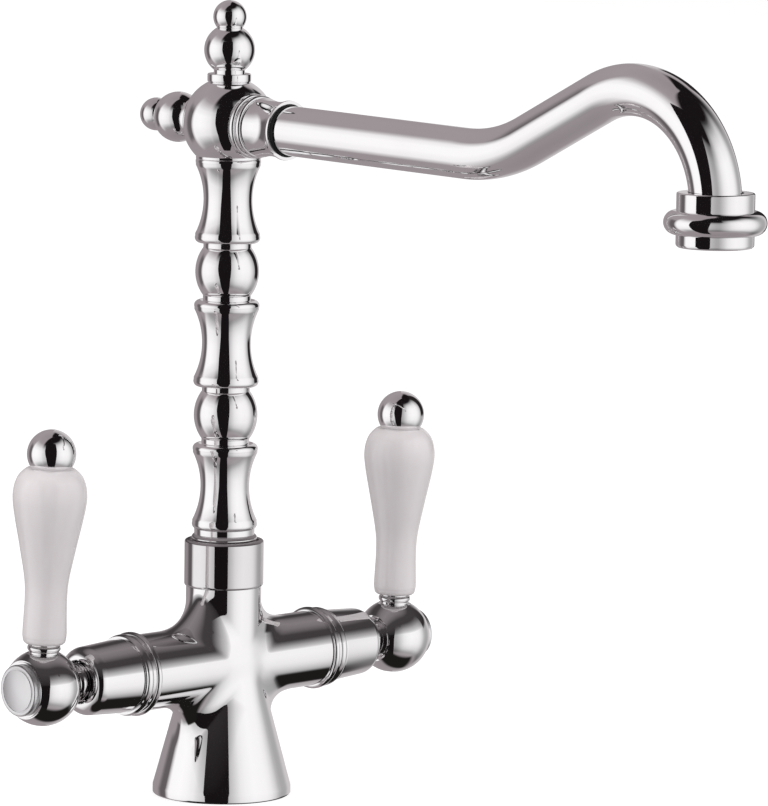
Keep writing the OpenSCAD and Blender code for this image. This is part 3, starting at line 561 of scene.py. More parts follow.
above_camera = fades(tree, (azimuth, -20, -12), (azimuth, 36, 28), (elevation, 36, 42))
picture = mixed(tree, picture, BLACK, above_camera)
print("dark parts:", ", ".join(DARK), "; panels:", ", ".join(PANELS))

# %% What each ray sees
ray = add(tree, "ShaderNodeLightPath")
mirrored = math_node(tree, "MAXIMUM", ray.outputs["Is Glossy Ray"], ray.outputs["Is Transmission Ray"])
seen_by_all = mixed(tree, (0.80, 0.795, 0.80), picture, mirrored)
background = add(tree, "ShaderNodeBackground")
feed(tree, mixed(tree, seen_by_all, WHITE, ray.outputs["Is Camera Ray"]), background.inputs[0])
wire(tree, (background, 0, out, "Surface"))
print("world:", len(tree.nodes), "nodes")

# %% [markdown]
# Four things stand close to the tap, all of them plain sheets for the reflections. The black flag in
# front of the camera shifts from one ball to the next, as the stripe in the photo does. A dark side
# sheet behind on the right gives the high parts their black edge. An awning over the levers darkens
# the sky for the low parts; it is only there from below, so the column above it doesn't see it.
# A dark table lies under the arms; it fades out along the ray, so the spout doesn't see it.

# %% Sheets near the tap
def seen(s, q, h):
    """A place in mm from one given as (to the camera's right, towards it, up)."""
    return right * s + Vector((near.x, near.y, 0)) * q + Vector((0, 0, h))


def dark_sheet(name, corners, colour, opacity=None):
    """A sheet for the reflections only; its colour and opacity may be rules for where it is hit."""
    sheet = mesh_object(name, [corner * MM for corner in corners], [list(range(len(corners)))])
    material, tree = new_material(name, empty=True)
    place = add(tree, "ShaderNodeSeparateXYZ")
    wire(tree, (add(tree, "ShaderNodeTexCoord"), "Object", place, 0))
    surface = add(tree, "ShaderNodeEmission")
    feed(tree, colour(tree, *place.outputs) if callable(colour) else colour, surface.inputs["Color"])
    if opacity:
        mix = add(tree, "ShaderNodeMixShader")
        feed(tree, opacity(tree, *place.outputs), mix.inputs[0])
        wire(tree, (add(tree, "ShaderNodeBsdfTransparent"), 0, mix, 1), (surface, 0, mix, 2))
        surface = mix
    wire(tree, (surface, 0, add(tree, "ShaderNodeOutputMaterial"), 0))
    sheet.data.materials.append(material)
    sheet.visible_camera = sheet.visible_diffuse = sheet.visible_shadow = False


# %% Flag and side sheet
FLAG_NEAR, SIDE_FAR, SIDE_Z, SIDE_SOFT = 380, 400, (80, 600), (40, 60)
flag = [(75, -700), (-150, -700), (-185, 40), (-205, 120), (-235, 260), (-250, 600), (130, 600),
        (112, 260), (98, 120), (88, 40)]
dark_sheet("black flag", [seen(s, FLAG_NEAR, h) for s, h in flag], BLACK)
start, stop = (seen(-SIDE_FAR * math.sin(math.radians(a)), SIDE_FAR * math.cos(math.radians(a)), 0)
               for a in (-117, -150))
bottom, top = (Vector((0, 0, z)) for z in SIDE_Z)


def side_opacity(tree, x, y, z):
    """Soft edges all round, in metres."""
    first, last = start.x * MM, stop.x * MM
    return fades(tree, (x, first, first + 0.15 * (last - first)), (x, last, last - 0.2 * (last - first)),
                 (z, SIDE_Z[0] * MM, (SIDE_Z[0] + SIDE_SOFT[0]) * MM),
                 (z, SIDE_Z[1] * MM, (SIDE_Z[1] - SIDE_SOFT[1]) * MM))


dark_sheet("side sheet", [start + bottom, stop + bottom, stop + top, start + top],
           (0.020, 0.017, 0.018), side_opacity)
print("flag", FLAG_NEAR, "mm in front; side sheet", SIDE_FAR, "mm away")

# %% Awning and table
AWNING_Z, AWNING_X, AWNING_Y = 100, (-320, 320), (-240, 240)
TABLE_Z, TABLE_X, TABLE_Y = -30, (-150, 150), (-66, 24)
LEVER_AT, AWNING_REACH, TABLE_SEEN = 85, 250, (160, 110)
AWNING_TONES = [(0, 0.24), (14, 0.20), (24, 0.13), (34, 0.055), (66, 0.05), (240, 0.06)]
AWNING_COVER = [(0, 1), (58, 1), (78, 0.84), (111, 0.6), (165, 0.38), (225, 0.1), (240, 0)]


def level(xs, ys, z):
    """The corners of a level sheet."""
    return [Vector((x, y, z)) for x, y in ((xs[0], ys[0]), (xs[1], ys[0]), (xs[1], ys[1]), (xs[0], ys[1]))]


def from_arms(tree, x, y, stops):
    """A profile over the distance, in mm, from the line on which both levers stand."""
    beyond = math_node(tree, "SUBTRACT", math_node(tree, "ABSOLUTE", x), LEVER_AT * MM)
    beyond = math_node(tree, "MAXIMUM", beyond, 0)
    squares = math_node(tree, "MULTIPLY_ADD", y, y, math_node(tree, "MULTIPLY", beyond, beyond))
    return profile(tree, math_node(tree, "SQRT", squares), AWNING_REACH * MM,
                   [(place * MM, grey) for place, grey in stops])


def awning_colour(tree, x, y, z):
    """Palest over the levers, and dark from there outwards."""
    return mixed(tree, from_arms(tree, x, y, AWNING_TONES), PINK, 1, "MULTIPLY")


def awning_opacity(tree, x, y, z):
    """Thinner towards its edges, and only there for what looks up at it."""
    return math_node(tree, "MULTIPLY", from_arms(tree, x, y, AWNING_COVER),
                     add(tree, "ShaderNodeNewGeometry").outputs["Backfacing"])


def table_opacity(tree, x, y, z):
    """Soft edges, and out of sight of what is far from it; in metres."""
    length = add(tree, "ShaderNodeLightPath").outputs["Ray Length"]
    return fades(tree, (length, TABLE_SEEN[0] * MM, TABLE_SEEN[1] * MM),
                 (math_node(tree, "ABSOLUTE", x), TABLE_X[1] * MM, (TABLE_X[1] - 25) * MM),
                 (y, TABLE_Y[0] * MM, (TABLE_Y[0] + 21) * MM), (y, TABLE_Y[1] * MM, (TABLE_Y[1] - 16) * MM))


dark_sheet("awning", level(AWNING_X, AWNING_Y, AWNING_Z), awning_colour, awning_opacity)
dark_sheet("dark table", level(TABLE_X, TABLE_Y, TABLE_Z), (0.012, 0.011, 0.010), table_opacity)
print("awning at", AWNING_Z, "mm; table at", TABLE_Z, "mm")

# %% [markdown]
# Two broad lamps model the porcelain from the left and the right, and a pale floor takes their
# shadow. The lamps stay out of the reflections, because the panels already stand there.
# The floor is made as bright as the background for the camera alone, so its edge can't be seen.

# %% Lamps and floor
def soft_lamp(name, s, q, h, size, power):
    """A square area lamp at a place given from the camera's side, aimed at the column."""
    light = bpy.data.lights.new(name, "AREA")
    light.shape, light.size, light.energy = "SQUARE", size, power
    lamp, place = in_scene(name, light), seen(s, q, h) * MM
    aim = (Vector((0, -0.08, 0.12)) - place).to_track_quat("-Z", "Y")
    lamp.matrix_world = Matrix.Translation(place) @ aim.to_matrix().to_4x4()
    lamp.visible_glossy = False


soft_lamp("left lamp", -900, 500, 700, 0.9, 5.0)
soft_lamp("right lamp", 900, 400, 600, 0.9, 3.9)

floor = mesh_object("floor", [(-4, -4, 0), (4, -4, 0), (4, 4, 0), (-4, 4, 0)], [[0, 1, 2, 3]])
floor_material, tree = new_material("pale floor", empty=True)
matt, glow = add(tree, "ShaderNodeBsdfDiffuse"), add(tree, "ShaderNodeEmission")
feed(tree, (0.5, 0.5, 0.5), matt.inputs["Color"])
ray, both = add(tree, "ShaderNodeLightPath"), add(tree, "ShaderNodeAddShader")
feed(tree, math_node(tree, "MULTIPLY", ray.outputs["Is Camera Ray"], 0.66), glow.inputs["Strength"])
wire(tree, (matt, 0, both, 0), (glow, 0, both, 1),
     (both, 0, add(tree, "ShaderNodeOutputMaterial"), "Surface"))
floor.data.materials.append(floor_material)
floor.visible_glossy = False
print("two lamps and a floor")

# %% [markdown]
# The heart of the tap is one casting: a foot that flares to the deck, a neck, and an arm to each
# side. On the real one the pattern maker blended the limbs with fillets, so reflections flow
# over the crossing without a line. Joined cylinders would show a hard seam there.
# So the skin is found by a rule: it is where a smooth minimum of the two distances, to the trunk
# and to the arms, is zero. Points are found along rays by halving, for a whole ring at a time.

# %% Skin of the casting
BLEND, BLEND_FADE = 17.0, 0.88


def smooth_step(a, b, width, sign):
    """Smooth maximum (sign 1) or minimum (sign -1) of two arrays."""
    h = np.maximum(width - np.abs(a - b), 0) / width
    return (np.maximum(a, b) if sign > 0 else np.minimum(a, b)) + sign * h * h * width / 4


def trunk_radius(z):
    """The trunk's radius at each height: a band, a cone and a neck."""
    cone = NECK_R + (FOOT_R - NECK_R) * (CONE_TOP - z) / (CONE_TOP - FOOT_BAND)
    return np.where(z < FOOT_BAND, FOOT_R, smooth_step(NECK_R + 0 * z, cone, 3.0, 1))


def skin_distance(p):
    """Below zero inside the casting; the blend fades out towards the arms' front and back."""
    trunk = np.hypot(p[..., 0], p[..., 1]) - trunk_radius(p[..., 2])
    arms = np.hypot(p[..., 1], p[..., 2] - AXIS_Z) - ARM_R
    width = BLEND * (1 - BLEND_FADE * np.minimum(1, (p[..., 1] / ARM_R) ** 2))
    return smooth_step(trunk, arms, width, -1)


def reach_skin(start, ray, far):
    """Walks out from inside the casting along each ray to the skin, no further than far."""
    low, high = np.full(start.shape[:-1], 2.0), np.full(start.shape[:-1], float(far))
    for _ in range(30):
        middle = (low + high) / 2
        outside = skin_distance(start + ray * middle[..., None]) > 0
        low, high = np.where(outside, low, middle), np.where(outside, middle, high)
    return start + ray * high[..., None]


# %% Limbs of the casting
HALF_TURN, ROWS = 48, 30
CENTRE = np.array([0, 0, AXIS_Z])


def seam(sx, sz):
    """Where an arm meets the trunk on one quarter of the casting, from the front to the back."""
    a = np.linspace(0, math.pi, HALF_TURN + 1)
    ray = np.stack([sx * np.sin(a), -np.cos(a), sz * np.sin(a)], -1)
    ray[[0, -1], 0] = ray[[0, -1], 2] = 0
    return reach_skin(np.tile(CENTRE, (len(a), 1)), ray, 60)


def limb(first, axis, end, shares):
    """Rings from a seam to the limb's end; axis 0 is an arm, axis 2 the trunk."""
    a = np.linspace(0, 2 * math.pi, 2 * HALF_TURN, endpoint=False)
    other = 2 - axis
    ray = np.zeros((len(a), 3))
    ray[:, 1], ray[:, other] = -np.cos(a), np.sin(a)
    rings = [first]
    for share in shares:
        start = np.tile(CENTRE, (len(a), 1))
        start[:, axis] = first[:, axis] + (end - first[:, axis]) * share
        rings.append(reach_skin(start, ray, ARM_R + BLEND if axis == 0 else 60))
    return np.array(rings)


def loop_of(upper, lower):
    """A whole ring from the two half seams that bound a limb."""
    return np.concatenate([upper[:-1], lower[::-1][:-1]])


even_rows = np.linspace(0, 1, ROWS + 1)[1:]
limbs = [
    limb(loop_of(seam(1, 1), seam(1, -1)), 0, ARM_L, even_rows),
    limb(loop_of(seam(-1, 1), seam(-1, -1)), 0, -ARM_L, even_rows),
    limb(loop_of(seam(1, 1), seam(-1, 1)), 2, BODY_TOP, even_rows),
    limb(loop_of(seam(1, -1), seam(-1, -1)), 2, FOOT_BAND + 0.12, even_rows),
]
foot_edge = [(FOOT_R, FOOT_BAND - 0.12), (FOOT_R, 1.0)] + arc(FOOT_R - 0.6, 0.6, 0.6, 0, -90, 5)
turn = np.linspace(0, 2 * math.pi, 2 * HALF_TURN, endpoint=False)
foot_rings = [np.stack([r * np.sin(turn), -r * np.cos(turn), 0 * turn + z], -1) for r, z in foot_edge]
limbs[3] = np.concatenate([limbs[3], foot_rings])
print("casting:", sum(len(rings) for rings in limbs), "rings of", 2 * HALF_TURN)


# %% Cuts and welds
def keep_result(piece):
    """Replaces a piece's mesh by what its modifiers make of it."""
    bpy.context.view_layer.update()
    ready = bpy.data.meshes.new_from_object(
        piece.evaluated_get(bpy.context.evaluated_depsgraph_get()))
    piece.modifiers.clear()
    old, piece.data = piece.data, ready
    bpy.data.meshes.remove(old)


def cut(piece, cutters, operation="DIFFERENCE"):
    """Cuts each cutter out of a piece, or joins it on, and deletes the cutters."""
    for tool in cutters:
        knife = piece.modifiers.new(tool.name, "BOOLEAN")
        knife.operation, knife.solver, knife.object = operation, "EXACT", tool
    keep_result(piece)
    for tool in cutters:
        bpy.data.objects.remove(tool)
    shade(piece.data, 20)


def rod(r, z0, z1):
    """The outline of a plain cylinder."""
    return [(0, z0), (r, z0), (r, z1), (0, z1)]


def cutter(name, outline, place=None, closed=False):
    """A turned solid that is only there to cut another."""
    return lathe(name, outline, place, closed=closed, sides=96)


def weld_into(mesh, meshes, weld_at, smooth_below):
    """Fills a mesh with others, welds the points that coincide and turns every face outwards."""
    work = bmesh.new()
    for part in meshes:
        work.from_mesh(part)
    bmesh.ops.remove_doubles(work, verts=work.verts, dist=weld_at)
    bmesh.ops.recalc_face_normals(work, faces=work.faces)
    work.to_mesh(mesh)
    print(mesh.name, "open edges:", sum(1 for e in work.edges if len(e.link_faces) != 2))
    work.free()
    shade(mesh, smooth_below)


# %% Cast the body and cut its bores
def limb_mesh(name, limbs):
    """One closed skin from the limbs' rings, with flat ends, welded along the seams."""
    points, faces = [], []
    for rings in limbs:
        start, n = len(points), rings.shape[1]
        points += list(rings.reshape(-1, 3))
        for k in range(len(rings) - 1):
            for j in range(n):
                a, b = start + k * n + j, start + k * n + (j + 1) % n
                faces.append([a, b, b + n, a + n])
        faces.append([start + (len(rings) - 1) * n + j for j in range(n)])
    piece = mesh_object(name, np.array(points) * MM, faces)
    weld_into(piece.data, [piece.data], 0.000005, 20)
    return piece


COLUMN_SEAT_R, BUSH_SEAT_R, CHAMBER_R = 9.95, 10.9, 9.6
STUD_HOLE_R, INLET_R, WATER_WAY_R = 4.0, 5.0, 3.5
GASKET_IN, GASKET_OUT = 20.45, 23.55
casting = limb_mesh("tap_body", limbs)
spigot = cutter("spigot", soften([(0, BODY_TOP - 4), (THREAD_R, BODY_TOP - 4),
                                  (THREAD_R, BODY_TOP + 8.6, 0.4), (0, BODY_TOP + 8.6)]))
cut(casting, [spigot], "UNION")
tools = [cutter("column_seat", rod(COLUMN_SEAT_R, AXIS_Z + 8, BODY_TOP + 10)),
         cutter("bush_seat", rod(BUSH_SEAT_R, BODY_TOP - 0.4, BODY_TOP + 10)),
         cutter("stud_hole", rod(STUD_HOLE_R, -1, 16), upright(0, STUD_Y)),
         cutter("gasket_groove", [(GASKET_IN, -1), (GASKET_OUT, -1), (GASKET_OUT, 2), (GASKET_IN, 2)],
                closed=True)]
for side, hand in SIDES.items():
    tools += [cutter(f"{hand}_valve_bore", rod(VALVE_R, ARM_L - 12, ARM_L + 1), on_arm(side)),
              cutter(f"{hand}_chamber", rod(CHAMBER_R, ARM_L - 19.7, ARM_L), on_arm(side)),
              cutter(f"{hand}_inlet", rod(INLET_R, -1, 12), upright(side * INLET_X)),
              cutter(f"{hand}_water_way", rod(WATER_WAY_R, 11, AXIS_Z), upright(side * INLET_X))]
cut(casting, tools)
dress(casting, "body", "body_casting")

# %% [markdown]
# A collar nut clamps the column to the neck, and still lets it turn. On the real tap it is plain
# and polished, with a small radius on both edges, and a step inside where the column's foot sits.

# %% Collar nut
NUT_R = 14.6
collar = lathe("collar_nut_turned", soften([
    (THREAD_R + 0.05, BODY_TOP), (NUT_R, BODY_TOP, 1.0), (NUT_R, COLLAR_TOP, 1.0),
    (12.6, COLLAR_TOP, 0.3), (12.6, COLLAR_TOP - 1.2), (10.5, COLLAR_TOP - 1.2),
    (10.5, COLLAR_TOP - 3.4), (THREAD_R + 0.05, COLLAR_TOP - 3.4)], closed=True), closed=True)
# The nut's darker chrome is painted shade.
dress(collar, "body", "collar_nut", material=SHADED_NUT_CHROME)

# %% [markdown]
# The column is the piece that a wood turner would recognise: waisted stretches between beads, with
# a ball between each pair. The same two forms repeat at one pitch, so they are drawn once.
# Copies could be made with an Array modifier. A small Geometry Nodes tree does the same and welds
# the rings where the forms meet, and the skirts of the levers can use it again.

# %% Repeat tree
REPEAT, given, result = new_group(
    "repeat along a line",
    [("Form", "Geometry"), ("Count", "Int", 3), ("Step", "Vector"), ("Weld", "Float", 0.00001),
     ("Finish", "Material")],
    [("Row", "Geometry")], "GeometryNodeTree")
line = add(REPEAT, "GeometryNodeMeshLine")
place_forms = add(REPEAT, "GeometryNodeInstanceOnPoints")
real = add(REPEAT, "GeometryNodeRealizeInstances")
weld = add(REPEAT, "GeometryNodeMergeByDistance")
finish = add(REPEAT, "GeometryNodeSetMaterial")
wire(REPEAT, (given, "Count", line, "Count"), (given, "Step", line, "Offset"),
     (line, 0, place_forms, "Points"), (given, "Form", place_forms, "Instance"),
     (place_forms, 0, real, 0), (real, 0, weld, 0), (given, "Weld", weld, "Distance"),
     (weld, 0, finish, "Geometry"), (given, "Finish", finish, "Material"), (finish, 0, result, 0))


def grow(piece, tree, **values):
    """Runs a Geometry Nodes tree on a piece and keeps the result as its plain mesh."""
    modifier = piece.modifiers.new(tree.name, "NODES")
    modifier.node_group = tree
    sockets = {s.name: s.identifier for s in tree.interface.items_tree
               if s.item_type == "SOCKET" and s.in_out == "INPUT"}
    for name, value in values.items():
        modifier[sockets[name.replace("_", " ")]] = value
    piece.update_tag()
    keep_result(piece)
    print(f"{piece.name}: {tree.name} made {len(piece.data.polygons)} faces")


# %% Column
def join(name, parts, smooth_below=32):
    """One piece from several, with the points that coincide welded."""
    mesh = bpy.data.meshes.new(name)
    weld_into(mesh, [part.data for part in parts], 0.00001, smooth_below)
    for part in parts:
        bpy.data.objects.remove(part)
    return in_scene(name, mesh)


waist_half = RIM_OFF - 1.2
waist_arc = (waist_half ** 2 + (RIM_R - WAIST_R) ** 2) / (2 * (RIM_R - WAIST_R))
land_r = RIM_R - 0.12
bead_r = RIM_R - RIM_BEAD
neck_turn = acosd((GROOVE_R - bead_r) / RIM_BEAD)
land_turn = acosd((land_r - bead_r) / RIM_BEAD)
waist_turn = acosd((WAIST_R + waist_arc - land_r) / waist_arc)
lower = arc(bead_r, -RIM_OFF, RIM_BEAD, -neck_turn, land_turn, 18)
waist = arc(WAIST_R + waist_arc, 0, waist_arc, 180 + waist_turn, 180 - waist_turn, 28)
stretch_outline = lower + waist + [(r, -z) for r, z in lower[::-1]]
stretch = lathe("stretch", stretch_outline, upright(z=STACK_Z + WAIST_H / 2))
grow(stretch, REPEAT, Count=3, Step=(0, 0, PITCH * MM), Finish=CHROME)

ball_half = BALL_H / 2 - 1
ball_crest = 23.4 / 2
ball_arc = (ball_half ** 2 + (ball_crest - GROOVE_R) ** 2) / (2 * (ball_crest - GROOVE_R))
ball_turn = asind(ball_half / ball_arc)
neck_end = PITCH / 2 - (RIM_OFF + RIM_BEAD * math.sin(math.radians(neck_turn)))
ball_outline = ([(GROOVE_R, -neck_end)] + arc(ball_crest - ball_arc, 0, ball_arc, -ball_turn, ball_turn, 26)
                + [(GROOVE_R, neck_end)])
ball = lathe("ball", ball_outline, upright(z=STACK_Z + WAIST_H + BALL_H / 2))
grow(ball, REPEAT, Count=2, Step=(0, 0, PITCH * MM), Finish=CHROME)

STEM_R, STEM_END = 9.9, 62.7
FLANGE_R, FLANGE_LOW, FLANGE_HIGH = 12.1, 87.0, 90.9
FOOT_BEAD_R, FOOT_LAND_R = 10.6, 11.1
column_z = COLLAR_TOP - 0.9
first_z, last_z = STACK_Z + WAIST_H / 2, STACK_Z + WAIST_H / 2 + 2 * PITCH
rim_gap = RIM_OFF + RIM_BEAD * math.sin(math.radians(neck_turn))
ends = lathe("ends", soften([
    (GROOVE_R, last_z + rim_gap), (HUB_FLAT_R, COLUMN_TOP - 0.87), (HUB_FLAT_R, COLUMN_TOP),
    (7.0, COLUMN_TOP), (7.0, COLUMN_TOP + 5), (BORE_R, COLUMN_TOP + 5), (BORE_R, STEM_END),
    (STEM_R, STEM_END, 0.3), (STEM_R, FLANGE_LOW), (FLANGE_R, FLANGE_LOW), (FLANGE_R, FLANGE_HIGH),
    (STEM_R, FLANGE_HIGH), (STEM_R, column_z), (FOOT_BEAD_R, column_z)])
    + arc(FOOT_BEAD_R, column_z + 1.5, 1.5, -90, 71, 14)
    + [(FOOT_LAND_R, column_z + 3.1), (FOOT_LAND_R, STACK_Z + 1.0), (GROOVE_R, first_z - rim_gap)])
column = join("column_turned", [ends, stretch, ball])
dress(column, "spout", "column")

# %% [markdown]
# A ball on top of the column takes the spout in front, and a finial behind and one on top.
# It is a turned ball with four flats, so it is spun whole and then cut: a finial's disc or the
# spout's collar sits on each flat. The finials are spun from the outline of two balls on a disc.

# %% Hub and finials
TUBE_START = 7.5
FINIAL_SEAT, SLEEVE_SEAT = (math.sqrt(HUB_R ** 2 - r ** 2) for r in (7.5, HUB_R * 0.7))
low_turn = asind(-math.sqrt(HUB_R ** 2 - HUB_FLAT_R ** 2) / HUB_R)
high_turn = asind(FINIAL_SEAT / HUB_R)
hub = lathe("hub_ball", [(0, COLUMN_TOP + 5.1), (7.05, COLUMN_TOP + 5.1), (7.05, COLUMN_TOP)]
            + arc(0, HUB_Z, HUB_R, low_turn, high_turn, 44) + [(0, HUB_Z + FINIAL_SEAT)])
cut(hub, [cutter("front_flat", rod(15, SLEEVE_SEAT, 30), on_spout),
          cutter("tube_seat", rod(TUBE_SEAT, TUBE_START, 14), on_spout),
          cutter("back_flat", rod(15, FINIAL_SEAT, 30), behind_hub),
          cutter("back_hole", rod(PEG_R, FINIAL_SEAT - 5.8, FINIAL_SEAT + 2), behind_hub),
          cutter("top_hole", rod(PEG_R, FINIAL_SEAT - 5.8, FINIAL_SEAT + 2), upright(z=HUB_Z))])
dress(hub, "spout", "spout_hub")

BALL_R, TIP_R, FINIAL_NECK, FINIAL_WAIST, DISC_R, DISC_EDGE = 9.3, 6.1, 5.7, 4.65, 8.0, 0.5
disc_top = FINIAL_SEAT + 3.1
ball_c = disc_top + 1.25 + math.sqrt(BALL_R ** 2 - FINIAL_NECK ** 2)
tip_c = ball_c + math.sqrt(BALL_R ** 2 - FINIAL_WAIST ** 2) + math.sqrt(TIP_R ** 2 - FINIAL_WAIST ** 2)
ball_low, ball_high = acosd(FINIAL_NECK / BALL_R), acosd(FINIAL_WAIST / BALL_R)
tip_low = acosd(FINIAL_WAIST / TIP_R)
rim = DISC_R - DISC_EDGE
finial_outline = ([(0, FINIAL_SEAT - 5.5), (3, FINIAL_SEAT - 5.5), (3, FINIAL_SEAT), (rim, FINIAL_SEAT)]
                  + arc(rim, FINIAL_SEAT + DISC_EDGE, DISC_EDGE, -90, 0, 5)
                  + arc(rim, disc_top - DISC_EDGE, DISC_EDGE, 0, 90, 5)
                  + [(FINIAL_NECK, disc_top)] + arc(0, ball_c, BALL_R, -ball_low, ball_high, 30)
                  + arc(0, tip_c, TIP_R, -tip_low, 90, 24)[:-1] + [(0, tip_c + TIP_R)])
for name, place, node in (("top_finial_turned", upright(z=HUB_Z), "top_finial"),
                          ("back_finial_turned", behind_hub, "back_finial")):
    dress(lathe(name, finial_outline, place), "spout", node)

# %% [markdown]
# The root of the spout wears a short collar: two beads, a shoulder, and a throat that swells to a
# lip. Behind the lip a thin black seal closes the gap to the tube, and shows as a dark line.

# %% Collar and seal of the spout
SLEEVE_L, GAP_R, LIP_R, THROAT_R, THROAT_DIP = 19.3, 10.3, 10.8, 9.95, 0.95
z0, z1, shoulder = SLEEVE_SEAT, SLEEVE_SEAT + SLEEVE_L, SLEEVE_SEAT + 6.4
span = z1 - 0.6 - shoulder
throat = ((span / 2) ** 2 + THROAT_DIP ** 2) / (2 * THROAT_DIP)
throat_turn = asind(span / 2 / throat)
collar_outline = ([(TUBE_SEAT, z0), (10.7, z0)] + arc(10.7, z0 + 1.1, 1.1, -90, 90, 12)
                  + [(GAP_R, z0 + 2.2), (GAP_R, z0 + 2.9)] + arc(10.4, z0 + 4.0, 1.1, -88, 88, 12)
                  + [(GAP_R, z0 + 5.1), (GAP_R, shoulder), (LIP_R, shoulder)]
                  + arc(THROAT_R + throat, shoulder + span / 2, throat,
                        180 + throat_turn, 180 - throat_turn, 20)
                  + [(LIP_R, z1), (TUBE_SEAT, z1)])
dress(lathe("spout_collar_turned", collar_outline, on_spout, closed=True), "spout", "spout_collar")
seal = lathe("spout_seal", [(TUBE_SEAT, z1), (9.7, z1), (9.35, z1 + 1.15), (TUBE_SEAT, z1 + 1.15)],
             on_spout, closed=True)
dress(seal, "spout", "spout_seal_ring", RUBBER)

# %% [markdown]
# The spout is one tube, bent twice on a former: a slow bend upwards and the round swan neck.
# Its shape follows a path, so the path is all that is drawn: four corners with a bend radius each.
# Geometry Nodes rounds the corners, sweeps a circle along the path and gives it its finish.
# A Solidify modifier then gives the tube its wall, so that its end is a real pipe's end.

# %% Tube tree
SWEEP, given, result = new_group(
    "bent tube",
    [("Corners", "Geometry"), ("Tube Radius", "Float", 0.009), ("Bend Steps", "Int", 48),
     ("Sides", "Int", 128), ("Finish", "Material")],
    [("Tube", "Geometry")], "GeometryNodeTree")
to_curve = add(SWEEP, "GeometryNodeMeshToCurve")
bend = add(SWEEP, "GeometryNodeFilletCurve", mode="POLY")
bend_at = add(SWEEP, "GeometryNodeInputNamedAttribute", data_type="FLOAT")
bend_at.inputs["Name"].default_value = "bend radius"
section = add(SWEEP, "GeometryNodeCurvePrimitiveCircle")
sweep = add(SWEEP, "GeometryNodeCurveToMesh")
smooth = add(SWEEP, "GeometryNodeSetShadeSmooth")
real = add(SWEEP, "GeometryNodeRealizeInstances")
finish = add(SWEEP, "GeometryNodeSetMaterial")
wire(SWEEP, (given, "Corners", to_curve, 0), (to_curve, 0, bend, "Curve"),
     (given, "Bend Steps", bend, "Count"), (bend_at, "Attribute", bend, "Radius"),
     (given, "Sides", section, "Resolution"),
     (given, "Tube Radius", section, "Radius"), (bend, 0, sweep, "Curve"),
     (section, 0, sweep, "Profile Curve"), (sweep, 0, smooth, 0), (smooth, 0, real, 0),
     (real, 0, finish, "Geometry"), (given, "Finish", finish, "Material"), (finish, 0, result, 0))

# %% Spout tube
rise = math.radians(RISE)
bend_z = HUB_Z - RUN_L * math.tan(drop)
swan_z = bend_z + (REACH - SWAN_R - RUN_L) * math.tan(rise) - SWAN_R / math.cos(rise)
crown_z = bend_z + (REACH - RUN_L) * math.tan(rise)
HOUSING_H, TUBE_INSIDE = 18.6, 5.6
outlet_top = swan_z + 5
outlet_z = outlet_top - HOUSING_H
corners = [((TUBE_START * math.cos(drop), HUB_Z - TUBE_START * math.sin(drop)), 0),
           ((RUN_L, bend_z), BEND_R),
           ((REACH, crown_z), SWAN_R), ((REACH, outlet_top - TUBE_INSIDE), 0)]


def guarded(corners, margin=1.0):
    """Adds a plain point just outside each bend, so that the straight runs stay straight."""
    done = [corners[0]]
    for before, (here, radius), after in zip(corners, corners[1:], corners[2:]):
        a, b, c = (np.array(p) for p in (before[0], here, after[0]))
        back, on = (a - b) / np.linalg.norm(a - b), (c - b) / np.linalg.norm(c - b)
        reach = radius / math.tan(0.5 * math.acos(float(back @ on))) + margin
        done.append((tuple(b + back * reach), 0))
        done.append((here, radius))
        if reach < np.linalg.norm(c - b) - 0.5:
            done.append((tuple(b + on * reach), 0))
    return done + [corners[-1]]


path = guarded(corners)
mesh = bpy.data.meshes.new("spout_tube_bent")
mesh.from_pydata([(0, -s * MM, z * MM) for (s, z), _ in path],
                 [(i, i + 1) for i in range(len(path) - 1)], [])
radii = mesh.attributes.new("bend radius", "FLOAT", "POINT")
radii.data.foreach_set("value", [radius * MM for _, radius in path])
tube = in_scene("spout_tube_bent", mesh)
grow(tube, SWEEP, Tube_Radius=TUBE_R * MM, Bend_Steps=48, Sides=128, Finish=CHROME)
print("tube box in mm:", [[round(f(v.co[i] for v in tube.data.vertices) * 1000, 1) for i in range(3)]
                          for f in (min, max)])


# %% Tube wall
skin = bmesh.new()
skin.from_mesh(tube.data)
bmesh.ops.recalc_face_normals(skin, faces=skin.faces)
run_middle = Vector((0, -RUN_L * 0.5 * MM, HUB_Z * MM))
outward = sum((f.calc_center_median() - run_middle).dot(f.normal) for f in skin.faces
              if abs(f.calc_center_median().y - run_middle.y) < 0.07)
if outward < 0:
    bmesh.ops.reverse_faces(skin, faces=skin.faces)
skin.to_mesh(tube.data)
skin.free()
wall = tube.modifiers.new("wall", "SOLIDIFY")
wall.thickness, wall.offset, wall.use_rim = TUBE_WALL * MM, -1.0, True
keep_result(tube)
weld_into(tube.data, [tube.data], 0.000002, 32)
dress(tube, "spout", "spout_tube")

# %% [markdown]
# The outlet holds the aerator, which mixes air into the water. Its housing is a short barrel with
# one fat bead, which is what the fingers turn to take it off. Under it shows the insert: a plate
# with three rings of holes. Thirty-six holes are a job for Geometry Nodes: circles of points
# carry one drill each, and one boolean drills them all.

